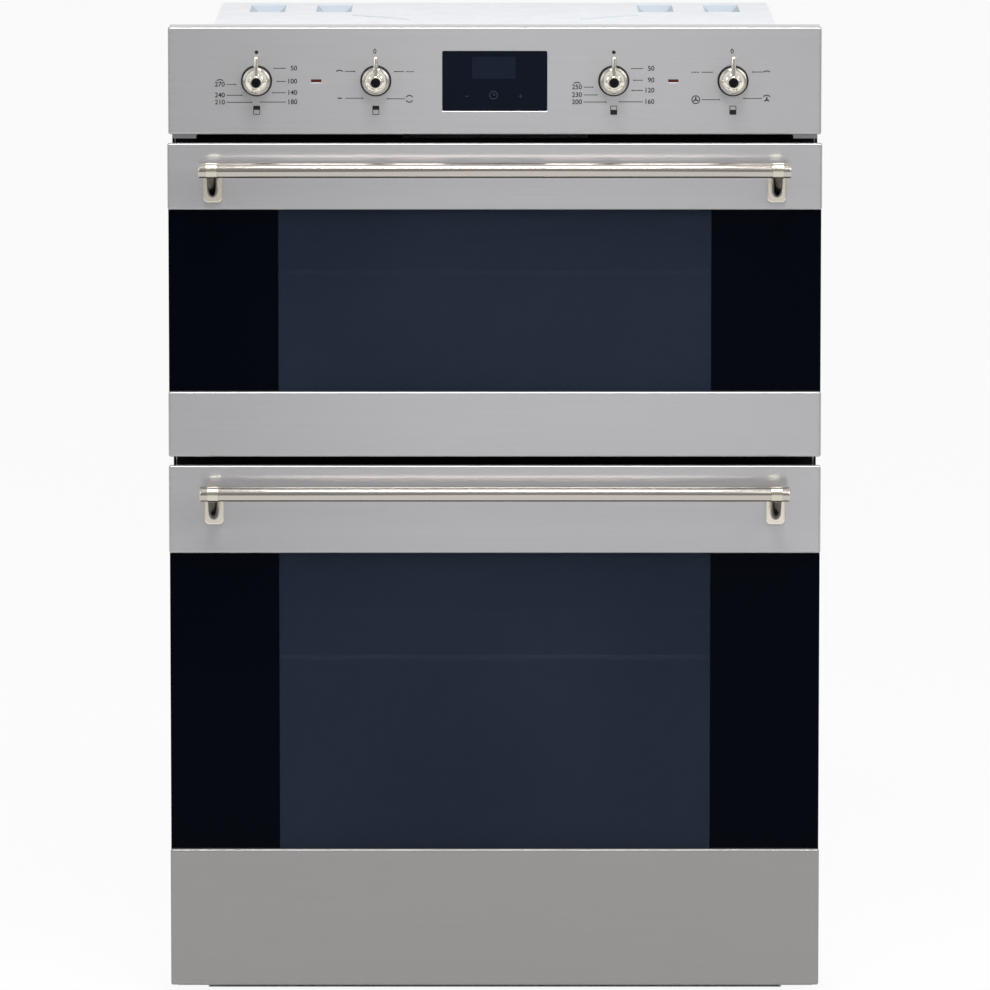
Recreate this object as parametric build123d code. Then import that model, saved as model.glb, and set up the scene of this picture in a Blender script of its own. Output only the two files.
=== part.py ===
from build123d import *
import math
import os

# A built-in double oven in millimetres: X runs right, Y runs back and Z runs up.
# The origin is the centre of the base tray's underside.

# Front, as it is seen from the room
DOOR_WIDTH = 597.0
UPPER_DOOR_HEIGHT = 288.0
LOWER_DOOR_HEIGHT = 483.0
UPPER_TOP_TRIM = 61.0
UPPER_BOTTOM_TRIM = 60.0
LOWER_TOP_TRIM = 81.0
LOWER_BOTTOM_TRIM = 127.0
FASCIA_INSET = 1.0
FASCIA_HEIGHT = 98.0
DOOR_GAP = 8.0
DOOR_BASE_GAP = 8.0

# Casing and front frame
CASING_DEPTH = 545.0
CASING_DROP = 20.0
CASING_SHEET = 1.0
CASING_LIP = 15.0
TRAY_FLANGE = 20.0
FRAME_INSET = 3.5
FRAME_FLANGE = 30.0
FRAME_SHEET = 1.5
FRAME_RISE = 2.0
VENT_SLOT_WIDTH = 7.0
VENT_SLOT_LENGTH = 76.0
VENT_PITCH = 13.0
POCKET_FROM_SIDE = (46.0, 110.0)
POCKET_FROM_BACK = 32.0
POCKET_LENGTH = 90.0
POCKET_WIDTH = 34.0
POCKET_DEPTH = 7.0
POCKET_SLOPE_DEG = 45.0
TOP_SLOT_PLACE = (47.0, 283.0)
TOP_SLOT_LENGTH = 10.0
TOP_SLOT_WIDTH = 2.5
CREASE_RADIUS = 1.5
CREASE_NEAR = (80.0, 327.0)
CREASE_FAR = (136.0, 378.0)
FIXING_HOLE_R = 2.5
FIXING_HOLE_INSET = 8.0
FIXING_HOLE_BASE = 300.0
FIXING_HOLE_SPACING = 400.0

# Doors
PANE = 4.0
GLASS_INSET = 0.5
TRIM_PROUD = 6.0
TRIM_SHEET = 1.0
TRIM_EDGE_R = 2.0
LINER_INSET = 48.5
LINER_DEPTH = 17.0
LINER_SHEET = 1.2
LINER_TOP_INSET = 12.0
LINER_CORNER_R = 10.0
PRINTED_BORDER = 101.0
WINDOW_MARGIN = 2.0
INNER_PANE_LAP = 12.0
SEAL_WIDTH = 6.0
SEAL_HEIGHT = 5.2
SEAL_OFFSET = 6.0
SEAL_GAP = 0.3

# Hinges
HINGE_FROM_SIDE = 30.0
PIVOT_INSET = 6.0
SWEEP_CLEARANCE = 1.0
HINGE_CLEARANCE = 0.5
RUNNING_CLEARANCE = 0.05
PIN_R = 3.0
ARM_THICKNESS = 5.0
CHEEK_THICKNESS = 3.0
LINER_RISE = 9.0
HINGE_PLATE_WIDTH = 26.0
HINGE_PLATE_HEIGHT = 28.0
HINGE_PLATE_THICKNESS = 2.0

# Handles
HANDLE_INSET = 29.3
HANDLE_R = 6.9
HANDLE_DROP = 21.3
HANDLE_STANDOFF = 40.0
HANDLE_END_R = 1.5
BRACKET_FROM_END = 12.2
BRACKET_PLATE_WIDTH = 17.4
BRACKET_PLATE_TOP = 22.0
BRACKET_PLATE_HEIGHT = 32.0
BRACKET_PLATE_THICKNESS = 3.0
BRACKET_CORNER_R = 4.5
BRACKET_ARM_R = 4.5
BRACKET_ARM_RISE = 8.8
COLLAR_LIP = 0.3
COLLAR_WALL = 0.6

# Cavities and what is in them
WALL_SPACE = 40.0
CAVITY_DEPTH = 400.0
UPPER_CAVITY_HEIGHT = 195.0
LOWER_CAVITY_HEIGHT = 310.0
CAVITY_SHEET = 1.0
CAVITY_CORNER_R = 14.0
CAVITY_FLANGE = 12.0
INSULATION = 20.0
INSULATION_GAP = 0.3
INSULATION_FRONT = 70.0
INSULATION_LENGTH = 310.0
ELEMENT_R = 3.25
ELEMENT_GAP = 0.3
ELEMENT_DROP = 24.0
ELEMENT_FROM_WALL = 75.0
ELEMENT_INNER_X = 50.0
ELEMENT_FRONT = 60.0
ELEMENT_BEND_R = 24.0
ELEMENT_TAIL = 18.0
ELEMENT_FLANGE = 22.0
RACK_WIRE_R = 2.5
RACK_STAND = 14.0
RACK_FRONT = 40.0
RACK_BACK = 330.0
RACK_OVERHANG = 15.0
RACK_WELD = 1.0
UPPER_RACK_PITCH = 37.5
LOWER_RACK_PITCH = 45.5
UPPER_RACK_LEVELS = 3
LOWER_RACK_LEVELS = 5
UPPER_SHELF_STEPS = 3
LOWER_SHELF_STEPS = 4
SHELF_WIRE_R = 3.0
SHELF_BAR_R = 2.0
SHELF_BARS = 13
SHELF_CORNER_R = 16.0
SHELF_REST_GAP = 0.2
SHELF_SIDE_GAP = 0.3
LAMP_R = 22.0
LAMP_DEPTH = 16.0
LAMP_INSET = 45.0

# Convection fan in the lower oven
FAN_COVER_FROM_WALL = 75.0
FAN_COVER_HEIGHT = 230.0
FAN_COVER_DEPTH = 45.0
FAN_COVER_CORNER_R = 22.0
FAN_INLET_R = 58.0
FAN_INLET_HUB_R = 22.0
FAN_INLET_SLOTS = 20
FAN_INLET_SLOT = 6.0
FAN_R = 70.0
FAN_BLADES = 12
FAN_BLADE_DEPTH = 22.0
FAN_WALL_GAP = 12.0
FAN_SHEET = 1.2
FAN_SHAFT_R = 4.0
FAN_MOTOR_R = 30.0
FAN_MOTOR_LENGTH = 42.0
FAN_SHAFT_HOLE_R = 8.0
RING_R = 88.0
RING_FROM_WALL = 22.0
RING_OPEN_DEG = 36.0

# Control panel
FASCIA_SHEET = 1.2
FASCIA_EDGE_R = 2.0
KNOB_FROM_END = 80.7
KNOB_PITCH = 108.5
KNOB_NAMES = ("upper_thermostat", "upper_selector", "lower_thermostat", "lower_selector")
BEZEL_R = 14.2
BEZEL_THICKNESS = 1.5
KNOB_GAP = 0.3
KNOB_BASE_R = 12.7
KNOB_BASE_RIM = 2.5
KNOB_COLLAR_R = 5.7
KNOB_SHOULDER = 14.0
KNOB_LENGTH = 24.5
NOSE_R = 3.95
NOSE_PROUD = 3.0
LEVER_R = 1.95
LEVER_REACH = 24.6
LEVER_STANDOFF = 18.5
SPINDLE_R = 3.0
SPINDLE_CLEARANCE_HOLE = 7.0
CARRIER_GAP = 8.8
CARRIER_SHEET = 1.2
CARRIER_INSET = 10.0
CARRIER_HEIGHT = 52.0
SWITCH_R = 18.0
SWITCH_DEPTH = 30.0
SWITCH_NECK_R = 5.0
SWITCH_NECK = 5.0
SWITCH_TAB = 6.0
DISPLAY_WIDTH = 95.5
DISPLAY_HEIGHT = 54.5
DISPLAY_PROUD = 0.8
DISPLAY_CORNER_R = 1.5
DISPLAY_FIT = 0.2
DISPLAY_FRAME = 6.0
INDICATOR_WIDTH = 9.2
INDICATOR_HEIGHT = 2.4
INDICATOR_PROUD = 0.4
END_BRACKET_WIDTH = 21.5
END_BRACKET_LIP = 3.7
END_BRACKET_SHEET = 1.0
END_BRACKET_INSET = 1.5

# Cooling blower above the upper oven
BLOWER_R = 26.0
BLOWER_LENGTH = 170.0
BLOWER_BLADES = 16
BLOWER_BLADE_DEPTH = 8.0
BLOWER_BLADE = 1.0
BLOWER_FROM_FACE = 110.0
SCROLL_GAP = 7.0
SCROLL_SHEET = 1.0
SCROLL_END_GAP = 5.0
OUTLET_HEIGHT = 7.0
BLOWER_SHAFT_R = 3.0
BLOWER_MOTOR_R = 22.0
BLOWER_MOTOR_LENGTH = 36.0
BLOWER_DISC = 2.0

# Mains terminal box on the back
TERMINAL_WIDTH = 92.0
TERMINAL_HEIGHT = 62.0
TERMINAL_DEPTH = 28.0
TERMINAL_WALL = 2.5
TERMINAL_X = -170.0
TERMINAL_FROM_TOP = 90.0
CABLE_INLET_R = 7.0

# Casing screws
SCREW_HEAD_R = 3.6
SCREW_HEAD = 1.8
SCREW_SHANK_R = 1.6
SCREW_HOLE_R = 1.8
SCREW_SHANK = 6.0
SCREW_EDGE = 8.0

# Widths, each from the one that it fits to
FASCIA_WIDTH = DOOR_WIDTH - 2 * FASCIA_INSET
KNOB_OUTER_X = FASCIA_WIDTH / 2 - KNOB_FROM_END
KNOB_INNER_X = KNOB_OUTER_X - KNOB_PITCH
KNOB_X = (-KNOB_OUTER_X, -KNOB_INNER_X, KNOB_INNER_X, KNOB_OUTER_X)
INDICATOR_X = (KNOB_OUTER_X + KNOB_INNER_X) / 2
FRAME_WIDTH = DOOR_WIDTH - 2 * FRAME_INSET
LINER_WIDTH = DOOR_WIDTH - 2 * LINER_INSET
WINDOW_WIDTH = DOOR_WIDTH - 2 * PRINTED_BORDER
HANDLE_LENGTH = DOOR_WIDTH - 2 * HANDLE_INSET
BRACKET_X = HANDLE_LENGTH / 2 - BRACKET_FROM_END
CASING_WIDTH = FRAME_WIDTH - 2 * FRAME_FLANGE
CASING_HALF = CASING_WIDTH / 2
INNER_HALF = CASING_HALF - CASING_SHEET
HINGE_X = CASING_HALF - HINGE_FROM_SIDE
CARRIER_WIDTH = CASING_WIDTH - 2 * CARRIER_INSET
CAVITY_WIDTH = CASING_WIDTH - 2 * WALL_SPACE
CAVITY_HALF = CAVITY_WIDTH / 2
ELEMENT_HALF_WIDTH = CAVITY_HALF - ELEMENT_FROM_WALL
FAN_COVER_WIDTH = CAVITY_WIDTH - 2 * FAN_COVER_FROM_WALL
RAIL_X = CAVITY_HALF - RACK_STAND
UPRIGHT_X = RAIL_X + 2 * RACK_WIRE_R - RACK_WELD

# Levels up the front
LOWER_DOOR_BASE = DOOR_BASE_GAP
LOWER_DOOR_TOP = LOWER_DOOR_BASE + LOWER_DOOR_HEIGHT
UPPER_DOOR_BASE = LOWER_DOOR_TOP + DOOR_GAP
UPPER_DOOR_TOP = UPPER_DOOR_BASE + UPPER_DOOR_HEIGHT
FASCIA_BASE = UPPER_DOOR_TOP + DOOR_GAP
FASCIA_TOP = FASCIA_BASE + FASCIA_HEIGHT
FASCIA_MIDDLE = (FASCIA_BASE + FASCIA_TOP) / 2
CASING_TOP = FASCIA_TOP - CASING_DROP
CASING_ROOF = CASING_TOP - CASING_SHEET

# Depths from the cabinet face to the room and to the back
FACE_Y = -CASING_DEPTH / 2
BACK_Y = CASING_DEPTH / 2
BACK_INNER_Y = BACK_Y - CASING_SHEET
FRAME_FRONT = FACE_Y - FRAME_SHEET
LINER_BACK = FRAME_FRONT - SEAL_HEIGHT - SEAL_GAP
GLASS_BACK = LINER_BACK - LINER_DEPTH
GLASS_FRONT = GLASS_BACK - PANE
TRIM_FRONT = GLASS_FRONT - TRIM_PROUD
FASCIA_FRONT = TRIM_FRONT
FASCIA_INNER = FASCIA_FRONT + FASCIA_SHEET
CARRIER_FRONT = FASCIA_INNER + CARRIER_GAP
CARRIER_BACK = CARRIER_FRONT + CARRIER_SHEET
CAVITY_BACK = FACE_Y + CAVITY_DEPTH
PIVOT_Y = GLASS_BACK + PIVOT_INSET

# The pivot stands just high enough for the door's lower front edge to swing past the gap below it
PIVOT_TO_FRONT = PIVOT_Y - TRIM_FRONT
SWEEP = DOOR_GAP - SWEEP_CLEARANCE
PIVOT_RISE = (PIVOT_TO_FRONT**2 - SWEEP**2) / (2 * SWEEP)
EYE_R = PIVOT_INSET - HINGE_CLEARANCE
ARM_HALF_HEIGHT = EYE_R - HINGE_CLEARANCE


class Oven:
    """The levels of one oven: its door, its glass and its cavity."""

    def __init__(self, name, base, height, trims, cavity_height, rack_pitch, rack_levels, shelf_steps):
        top_trim, bottom_trim = trims
        self.name = name
        self.base = base
        self.top = base + height
        self.glass_low = base + bottom_trim
        self.glass_high = self.top - top_trim
        self.middle = (self.glass_low + self.glass_high) / 2
        self.cavity_height = cavity_height
        self.floor = self.middle - cavity_height / 2
        self.roof = self.middle + cavity_height / 2
        self.pivot = base + PIVOT_RISE
        self.rack_levels = [self.floor + rack_pitch * step for step in range(1, rack_levels + 1)]
        shelf_rail = self.rack_levels[shelf_steps - 1]
        self.shelf = shelf_rail + RACK_WIRE_R + SHELF_REST_GAP + SHELF_WIRE_R


UPPER = Oven(
    "upper", UPPER_DOOR_BASE, UPPER_DOOR_HEIGHT, (UPPER_TOP_TRIM, UPPER_BOTTOM_TRIM),
    UPPER_CAVITY_HEIGHT, UPPER_RACK_PITCH, UPPER_RACK_LEVELS, UPPER_SHELF_STEPS,
)
LOWER = Oven(
    "lower", LOWER_DOOR_BASE, LOWER_DOOR_HEIGHT, (LOWER_TOP_TRIM, LOWER_BOTTOM_TRIM),
    LOWER_CAVITY_HEIGHT, LOWER_RACK_PITCH, LOWER_RACK_LEVELS, LOWER_SHELF_STEPS,
)
OVENS = (UPPER, LOWER)


def block(x, y, z):
    """A box from its low and high limits along X, Y and Z."""
    limits = (x, y, z)
    size = [high - low for low, high in limits]
    centre = [(high + low) / 2 for low, high in limits]
    return Pos(*centre) * Box(*size)


def across(half):
    """Limits along X that are the same on both sides."""
    return (-half, half)


def front_plane(y):
    """A drawing plane that faces the room: its own x is X and its own y is Z."""
    return Plane(origin=(0, y, 0), x_dir=(1, 0, 0), z_dir=(0, -1, 0))


def side_plane(x):
    """A drawing plane that faces right: its own x is Y and its own y is Z."""
    return Plane(origin=(x, 0, 0), x_dir=(0, 1, 0), z_dir=(1, 0, 0))


def plate(outline, y_front, y_back):
    """An outline in X and Z, as thick as the stretch from y_front to y_back."""
    return extrude(front_plane(y_back) * outline, y_back - y_front)


def side_plate(outline, x_low, x_high):
    """An outline in Y and Z, as thick as the stretch from x_low to x_high."""
    return extrude(side_plane(x_low) * outline, x_high - x_low)


def rod(start, end, radius):
    """A round bar between two points."""
    run = Vector(*end) - Vector(*start)
    return Part(Solid.make_cylinder(radius, run.length, Plane(origin=start, z_dir=run)).wrapped)


def mirrored(shape):
    """A piece and its twin on the other side of the middle."""
    return [shape, mirror(shape, about=Plane.YZ)]


def rounded_at(x, z, width, height, radius):
    """A rounded rectangle with its centre at x and z."""
    return Pos(x, z) * RectangleRounded(width, height, radius)


def rounded_slots(centres, length, width):
    """Upright slots with round ends."""
    return [Pos(x, z) * Rot(0, 0, 90) * SlotOverall(length, width) for x, z in centres]


def save(node, *shapes):
    """Write one named piece, or a group of like pieces, to its own file."""
    solids = [solid for shape in shapes for solid in shape.solids()]
    piece = solids[0] if len(solids) == 1 else Compound(solids)
    export_step(piece, f"parts/{node}.step")


# Places of the screws on the side panels, in Y and Z, and on the back, in X and Z
SIDE_SCREWS = [(BACK_INNER_Y - SCREW_EDGE, z) for z in (CASING_TOP / 4, CASING_TOP * 3 / 4)]
SIDE_SCREWS += [(FACE_Y + SCREW_EDGE, z) for z in (CASING_TOP / 4, CASING_TOP * 3 / 4)]
BACK_SCREW_X = across(CASING_HALF - SCREW_EDGE)
BACK_SCREWS = [(x, z) for x in BACK_SCREW_X for z in (CASING_TOP / 3, CASING_TOP * 2 / 3)]


def make_base_tray():
    """A pan between the side panels, turned up at its sides and back, with air slots."""
    inner = INNER_HALF - CASING_SHEET
    pan = block(across(INNER_HALF), (FACE_Y, BACK_INNER_Y), (0, TRAY_FLANGE))
    pan -= block(
        across(inner), (FACE_Y, BACK_INNER_Y - CASING_SHEET), (CASING_SHEET, TRAY_FLANGE)
    )
    slot_y = BACK_INNER_Y - VENT_SLOT_LENGTH
    slots = [
        Pos(side * (CASING_WIDTH / 4 + VENT_PITCH * step), slot_y) * Rot(0, 0, 90)
        * SlotOverall(VENT_SLOT_LENGTH, VENT_SLOT_WIDTH)
        for side in (-1, 1)
        for step in (-1, 0, 1)
    ]
    for slot in slots:
        pan -= extrude(slot, CASING_SHEET)
    return pan


def make_side_panel():
    """The right side sheet, with a folded lip at the front and another at the back."""
    lip_low = TRAY_FLANGE + CASING_SHEET
    lip_high = CASING_ROOF - TRAY_FLANGE - CASING_SHEET
    lip_x = (CASING_HALF - CASING_LIP, INNER_HALF)
    panel = block((INNER_HALF, CASING_HALF), (FACE_Y, BACK_INNER_Y), (0, CASING_ROOF))
    panel += block(lip_x, (FACE_Y, FACE_Y + CASING_SHEET), (lip_low, lip_high))
    panel += block(lip_x, (BACK_INNER_Y - CASING_SHEET, BACK_INNER_Y), (lip_low, lip_high))
    slot_z = CASING_ROOF - TRAY_FLANGE - VENT_SLOT_LENGTH
    for step in range(5):
        slot = Pos(BACK_Y - VENT_SLOT_LENGTH - VENT_PITCH * step, slot_z) * Rot(0, 0, 90)
        slot *= SlotOverall(VENT_SLOT_LENGTH, VENT_SLOT_WIDTH)
        panel -= side_plate(slot, INNER_HALF, CASING_HALF)
    for y, z in SIDE_SCREWS:
        panel -= rod((0, y, z), (CASING_HALF, y, z), SCREW_HOLE_R)
    for x, z in BACK_SCREWS:
        panel -= rod((x, 0, z), (x, BACK_Y, z), SCREW_HOLE_R)
    return panel


def make_rear_panel():
    """The back sheet, with rows of vents over the fan motor and below the roof."""
    panel = block(across(CASING_HALF), (BACK_INNER_Y, BACK_Y), (0, CASING_TOP))
    vents = [
        (VENT_PITCH * 2 * step, level)
        for level in (LOWER.middle, CASING_ROOF - VENT_SLOT_LENGTH)
        for step in (-3, -2, -1, 0, 1, 2, 3)
    ]
    for slot in rounded_slots(vents, VENT_SLOT_LENGTH, VENT_SLOT_WIDTH):
        panel -= plate(slot, BACK_INNER_Y, BACK_Y)
    for x, z in BACK_SCREWS:
        panel -= rod((x, BACK_INNER_Y, z), (x, BACK_Y, z), SCREW_HOLE_R)
    return panel


def make_top_cover():
    """The roof sheet: flanges inside the sides, pressed pockets, stiffening creases and two tab slots."""
    inner = INNER_HALF - CASING_SHEET
    cover = block(across(CASING_HALF), (FACE_Y, BACK_INNER_Y), (CASING_ROOF, CASING_TOP))
    for x in mirrored_limits(inner, INNER_HALF):
        cover += block(x, (FACE_Y, BACK_INNER_Y), (CASING_ROOF - TRAY_FLANGE, CASING_ROOF))
    for side in (-1, 1):
        near, far = [
            (side * x, FACE_Y + from_face, CASING_TOP - CREASE_RADIUS / 2)
            for x, from_face in (CREASE_NEAR, CREASE_FAR)
        ]
        crease = rod(near, far, CREASE_RADIUS)
        cover += split(crease, Plane.XY.offset(CASING_TOP - CASING_SHEET / 2), Keep.TOP)
        slot_x, slot_y = TOP_SLOT_PLACE
        slot = Pos(side * slot_x, FACE_Y + slot_y, CASING_ROOF) * Rectangle(TOP_SLOT_LENGTH, TOP_SLOT_WIDTH)
        cover -= extrude(slot, CASING_SHEET)
    wall = CASING_SHEET / math.cos(math.radians(POCKET_SLOPE_DEG))
    for from_side in POCKET_FROM_SIDE:
        for x in across(CASING_HALF - from_side):
            cover += pocket(x, wall, POCKET_DEPTH + CASING_SHEET)
            cover -= pocket(x, 0, POCKET_DEPTH)
    return cover


def pocket(x, wall, depth):
    """A pressed pocket in the roof with sloping sides, and what its sheet adds all round."""
    y = BACK_Y - POCKET_FROM_BACK - POCKET_LENGTH / 2
    mouth = Rectangle(POCKET_WIDTH + 2 * wall, POCKET_LENGTH + 2 * wall)
    return extrude(Pos(x, y, CASING_TOP) * mouth, depth, dir=(0, 0, -1), taper=POCKET_SLOPE_DEG)


def mirrored_limits(low, high):
    """Limits along X on the right, and the same on the left."""
    return [(low, high), (-high, -low)]


def make_front_frame():
    """The face sheet: two oven mouths, the control window, the air slot and the fixing holes."""
    height = CASING_TOP - FRAME_RISE
    frame = plate(
        rounded_at(0, FRAME_RISE + height / 2, FRAME_WIDTH, height, TRIM_EDGE_R), FRAME_FRONT, FACE_Y
    )
    openings = [
        rounded_at(0, oven.middle, CAVITY_WIDTH, oven.cavity_height, CAVITY_CORNER_R) for oven in OVENS
    ]
    control_height = CARRIER_HEIGHT - 2 * CARRIER_SHEET - HINGE_CLEARANCE
    openings.append(
        rounded_at(0, FASCIA_MIDDLE, CARRIER_WIDTH - CASING_LIP, control_height, TRIM_EDGE_R)
    )
    outlet_z = FASCIA_BASE - OUTLET_HEIGHT / 2
    openings.append(Pos(0, outlet_z) * Rectangle(BLOWER_LENGTH, OUTLET_HEIGHT - 2 * SCROLL_SHEET))
    slot_width = ARM_THICKNESS + 2 * HINGE_CLEARANCE
    slot_height = 2 * (ARM_HALF_HEIGHT + HINGE_CLEARANCE)
    for oven in OVENS:
        for x in across(HINGE_X):
            openings.append(Pos(x, oven.pivot) * Rectangle(slot_width, slot_height))
    for x in across(FRAME_WIDTH / 2 - FIXING_HOLE_INSET):
        for z in (FIXING_HOLE_BASE, FIXING_HOLE_BASE + FIXING_HOLE_SPACING):
            openings.append(Pos(x, z) * Circle(FIXING_HOLE_R))
    for opening in openings:
        frame -= plate(opening, FRAME_FRONT, FACE_Y)
    return frame


def element_holes(oven):
    """Where the grill element's two tails pass through the back wall, in X and Z."""
    z = oven.roof - ELEMENT_DROP
    return [(x, z) for x in across(ELEMENT_HALF_WIDTH)]


def make_cavity(oven):
    """An enamelled box with round corners, a flange behind the face sheet and a closed back."""
    inner = rounded_at(0, oven.middle, CAVITY_WIDTH, oven.cavity_height, CAVITY_CORNER_R)
    outer = offset(inner, CAVITY_SHEET)
    flange = offset(inner, CAVITY_FLANGE)
    cavity = plate(outer, FACE_Y, CAVITY_BACK + CAVITY_SHEET)
    cavity += plate(flange, FACE_Y, FACE_Y + CAVITY_SHEET)
    cavity -= plate(inner, FACE_Y, CAVITY_BACK)
    back = (CAVITY_BACK, CAVITY_BACK + CAVITY_SHEET)
    for x, z in element_holes(oven):
        cavity -= rod((x, back[0], z), (x, back[1], z), ELEMENT_R + ELEMENT_GAP)
    if oven is LOWER:
        cavity -= rod((0, back[0], oven.middle), (0, back[1], oven.middle), FAN_SHAFT_HOLE_R)
        for x, z in ring_ends(oven):
            cavity -= rod((x, back[0], z), (x, back[1], z), ELEMENT_R + ELEMENT_GAP)
    return cavity


def make_seal(oven):
    """A soft gasket round the mouth, with a rounded crown towards the door."""
    mouth = rounded_at(0, oven.middle, CAVITY_WIDTH, oven.cavity_height, CAVITY_CORNER_R)
    ring = offset(mouth, SEAL_OFFSET + SEAL_WIDTH) - offset(mouth, SEAL_OFFSET)
    gasket = plate(ring, FRAME_FRONT - SEAL_HEIGHT, FRAME_FRONT)
    crown = gasket.faces().sort_by(Axis.Y)[0]
    return fillet(crown.edges(), SEAL_WIDTH / 3)


def make_insulation(oven):
    """A mineral wool sleeve round the cavity and its floor element."""
    drop = 2 * (ELEMENT_R + ELEMENT_GAP)
    gap = CAVITY_SHEET + INSULATION_GAP
    low = oven.floor - gap - drop
    high = oven.roof + gap
    width = CAVITY_WIDTH + 2 * gap
    middle = (low + high) / 2
    hole = rounded_at(0, middle, width, high - low, CAVITY_CORNER_R)
    front = FACE_Y + INSULATION_FRONT
    return plate(offset(hole, INSULATION) - hole, front, front + INSULATION_LENGTH)


def tube_along(points, bend_radius):
    """A heating tube bent along straight runs."""
    path = FilletPolyline(*points, radius=bend_radius)
    start = Plane(origin=path @ 0, z_dir=path % 0)
    return sweep(start * Circle(ELEMENT_R), path)


def make_grill_element(oven):
    """A W of heating tube below the roof, carried by a flange at each tail."""
    z = oven.roof - ELEMENT_DROP
    front = FACE_Y + ELEMENT_FRONT
    back = CAVITY_BACK + CAVITY_SHEET + ELEMENT_TAIL
    turn = CAVITY_BACK - ELEMENT_FRONT
    half = [(ELEMENT_HALF_WIDTH, back), (ELEMENT_HALF_WIDTH, front)]
    half += [(ELEMENT_INNER_X, front), (ELEMENT_INNER_X, turn)]
    left = [(-x, y, z) for x, y in half]
    right = [(x, y, z) for x, y in reversed(half)]
    element = tube_along(left + right, ELEMENT_BEND_R)
    for x, flange_z in element_holes(oven):
        flange = Pos(x, flange_z) * RectangleRounded(ELEMENT_FLANGE, ELEMENT_FLANGE, ELEMENT_R)
        element += plate(flange, CAVITY_BACK - CAVITY_SHEET, CAVITY_BACK)
    return element


def make_base_element(oven):
    """A U of heating tube below the cavity floor."""
    z = oven.floor - CAVITY_SHEET - ELEMENT_GAP - ELEMENT_R
    front = FACE_Y + INSULATION_FRONT + ELEMENT_BEND_R
    back = CAVITY_BACK + ELEMENT_TAIL
    half = [(ELEMENT_HALF_WIDTH, back), (ELEMENT_HALF_WIDTH, front)]
    left = [(-x, y, z) for x, y in half]
    right = [(x, y, z) for x, y in reversed(half)]
    return tube_along(left + right, 2 * ELEMENT_BEND_R)


def make_rack_guide(oven):
    """The right wire ladder: two uprights on studs, and a rail for each shelf level."""
    low = oven.rack_levels[0] - RACK_OVERHANG
    high = oven.rack_levels[-1] + RACK_OVERHANG
    wires = []
    for y in (FACE_Y + RACK_FRONT, FACE_Y + RACK_BACK):
        wires.append(rod((UPRIGHT_X, y, low), (UPRIGHT_X, y, high), RACK_WIRE_R))
        for z in (low + RACK_OVERHANG / 2, high - RACK_OVERHANG / 2):
            wires.append(rod((UPRIGHT_X, y, z), (CAVITY_HALF, y, z), RACK_WIRE_R - RACK_WELD / 2))
    for z in oven.rack_levels:
        start = FACE_Y + RACK_FRONT - RACK_OVERHANG
        end = FACE_Y + RACK_BACK + RACK_OVERHANG
        wires.append(rod((RAIL_X, start, z), (RAIL_X, end, z), RACK_WIRE_R))
    return wires[0] + wires[1:]


def make_shelf(oven):
    """A wire shelf: a bent frame with bars welded across it from front to back."""
    half = UPRIGHT_X - RACK_WIRE_R - SHELF_SIDE_GAP - SHELF_WIRE_R
    front = FACE_Y + RACK_FRONT - RACK_OVERHANG
    back = FACE_Y + RACK_BACK
    outline = RectangleRounded(2 * half, back - front, SHELF_CORNER_R)
    frame_path = (Pos(0, (front + back) / 2, oven.shelf) * outline).wire()
    start = Plane(origin=frame_path @ 0, z_dir=frame_path % 0)
    shelf = sweep(start * Circle(SHELF_WIRE_R), frame_path)
    pitch = 2 * half / (SHELF_BARS + 1)
    bars = []
    for step in range(1, SHELF_BARS + 1):
        x = -half + pitch * step
        bars.append(rod((x, front, oven.shelf), (x, back, oven.shelf), SHELF_BAR_R))
    return shelf + bars


def make_lamp(oven):
    """A domed lamp glass high on the cavity's back wall."""
    place = Plane(
        origin=(CAVITY_HALF - LAMP_INSET, CAVITY_BACK, oven.roof - LAMP_INSET - ELEMENT_FLANGE),
        x_dir=(1, 0, 0),
        z_dir=(0, -1, 0),
    )
    glass = extrude(place * Circle(LAMP_R), LAMP_DEPTH)
    dome = glass.faces().sort_by(Axis.Y)[0]
    return fillet(dome.edges(), LAMP_DEPTH * 0.6)


def ring_ends(oven):
    """The two ends of the fan's ring element, in X and Z."""
    ends = []
    for side in (1, -1):
        angle = math.radians(90 - side * RING_OPEN_DEG / 2)
        ends.append((RING_R * math.cos(angle), oven.middle + RING_R * math.sin(angle)))
    return ends


def make_ring_element(oven):
    """A ring of heating tube round the fan, with its tails and flange on the back wall."""
    y = CAVITY_BACK - RING_FROM_WALL
    (x, z), _ = ring_ends(oven)
    along = (z - oven.middle, 0, -x)
    section = Plane(origin=(x, y, z), z_dir=along) * Circle(ELEMENT_R)
    axle = Axis((0, y, oven.middle), (0, 1, 0))
    ring = revolve(section, axle, 360 - RING_OPEN_DEG)
    for end_x, end_z in ring_ends(oven):
        tail_end = CAVITY_BACK + CAVITY_SHEET + ELEMENT_TAIL
        ring += Pos(end_x, y, end_z) * Sphere(ELEMENT_R)
        ring += rod((end_x, y, end_z), (end_x, tail_end, end_z), ELEMENT_R)
    flange = rounded_at(0, z, 2 * x + ELEMENT_FLANGE, ELEMENT_FLANGE / 2, ELEMENT_R)
    return ring + plate(flange, CAVITY_BACK - CAVITY_SHEET, CAVITY_BACK)


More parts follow.
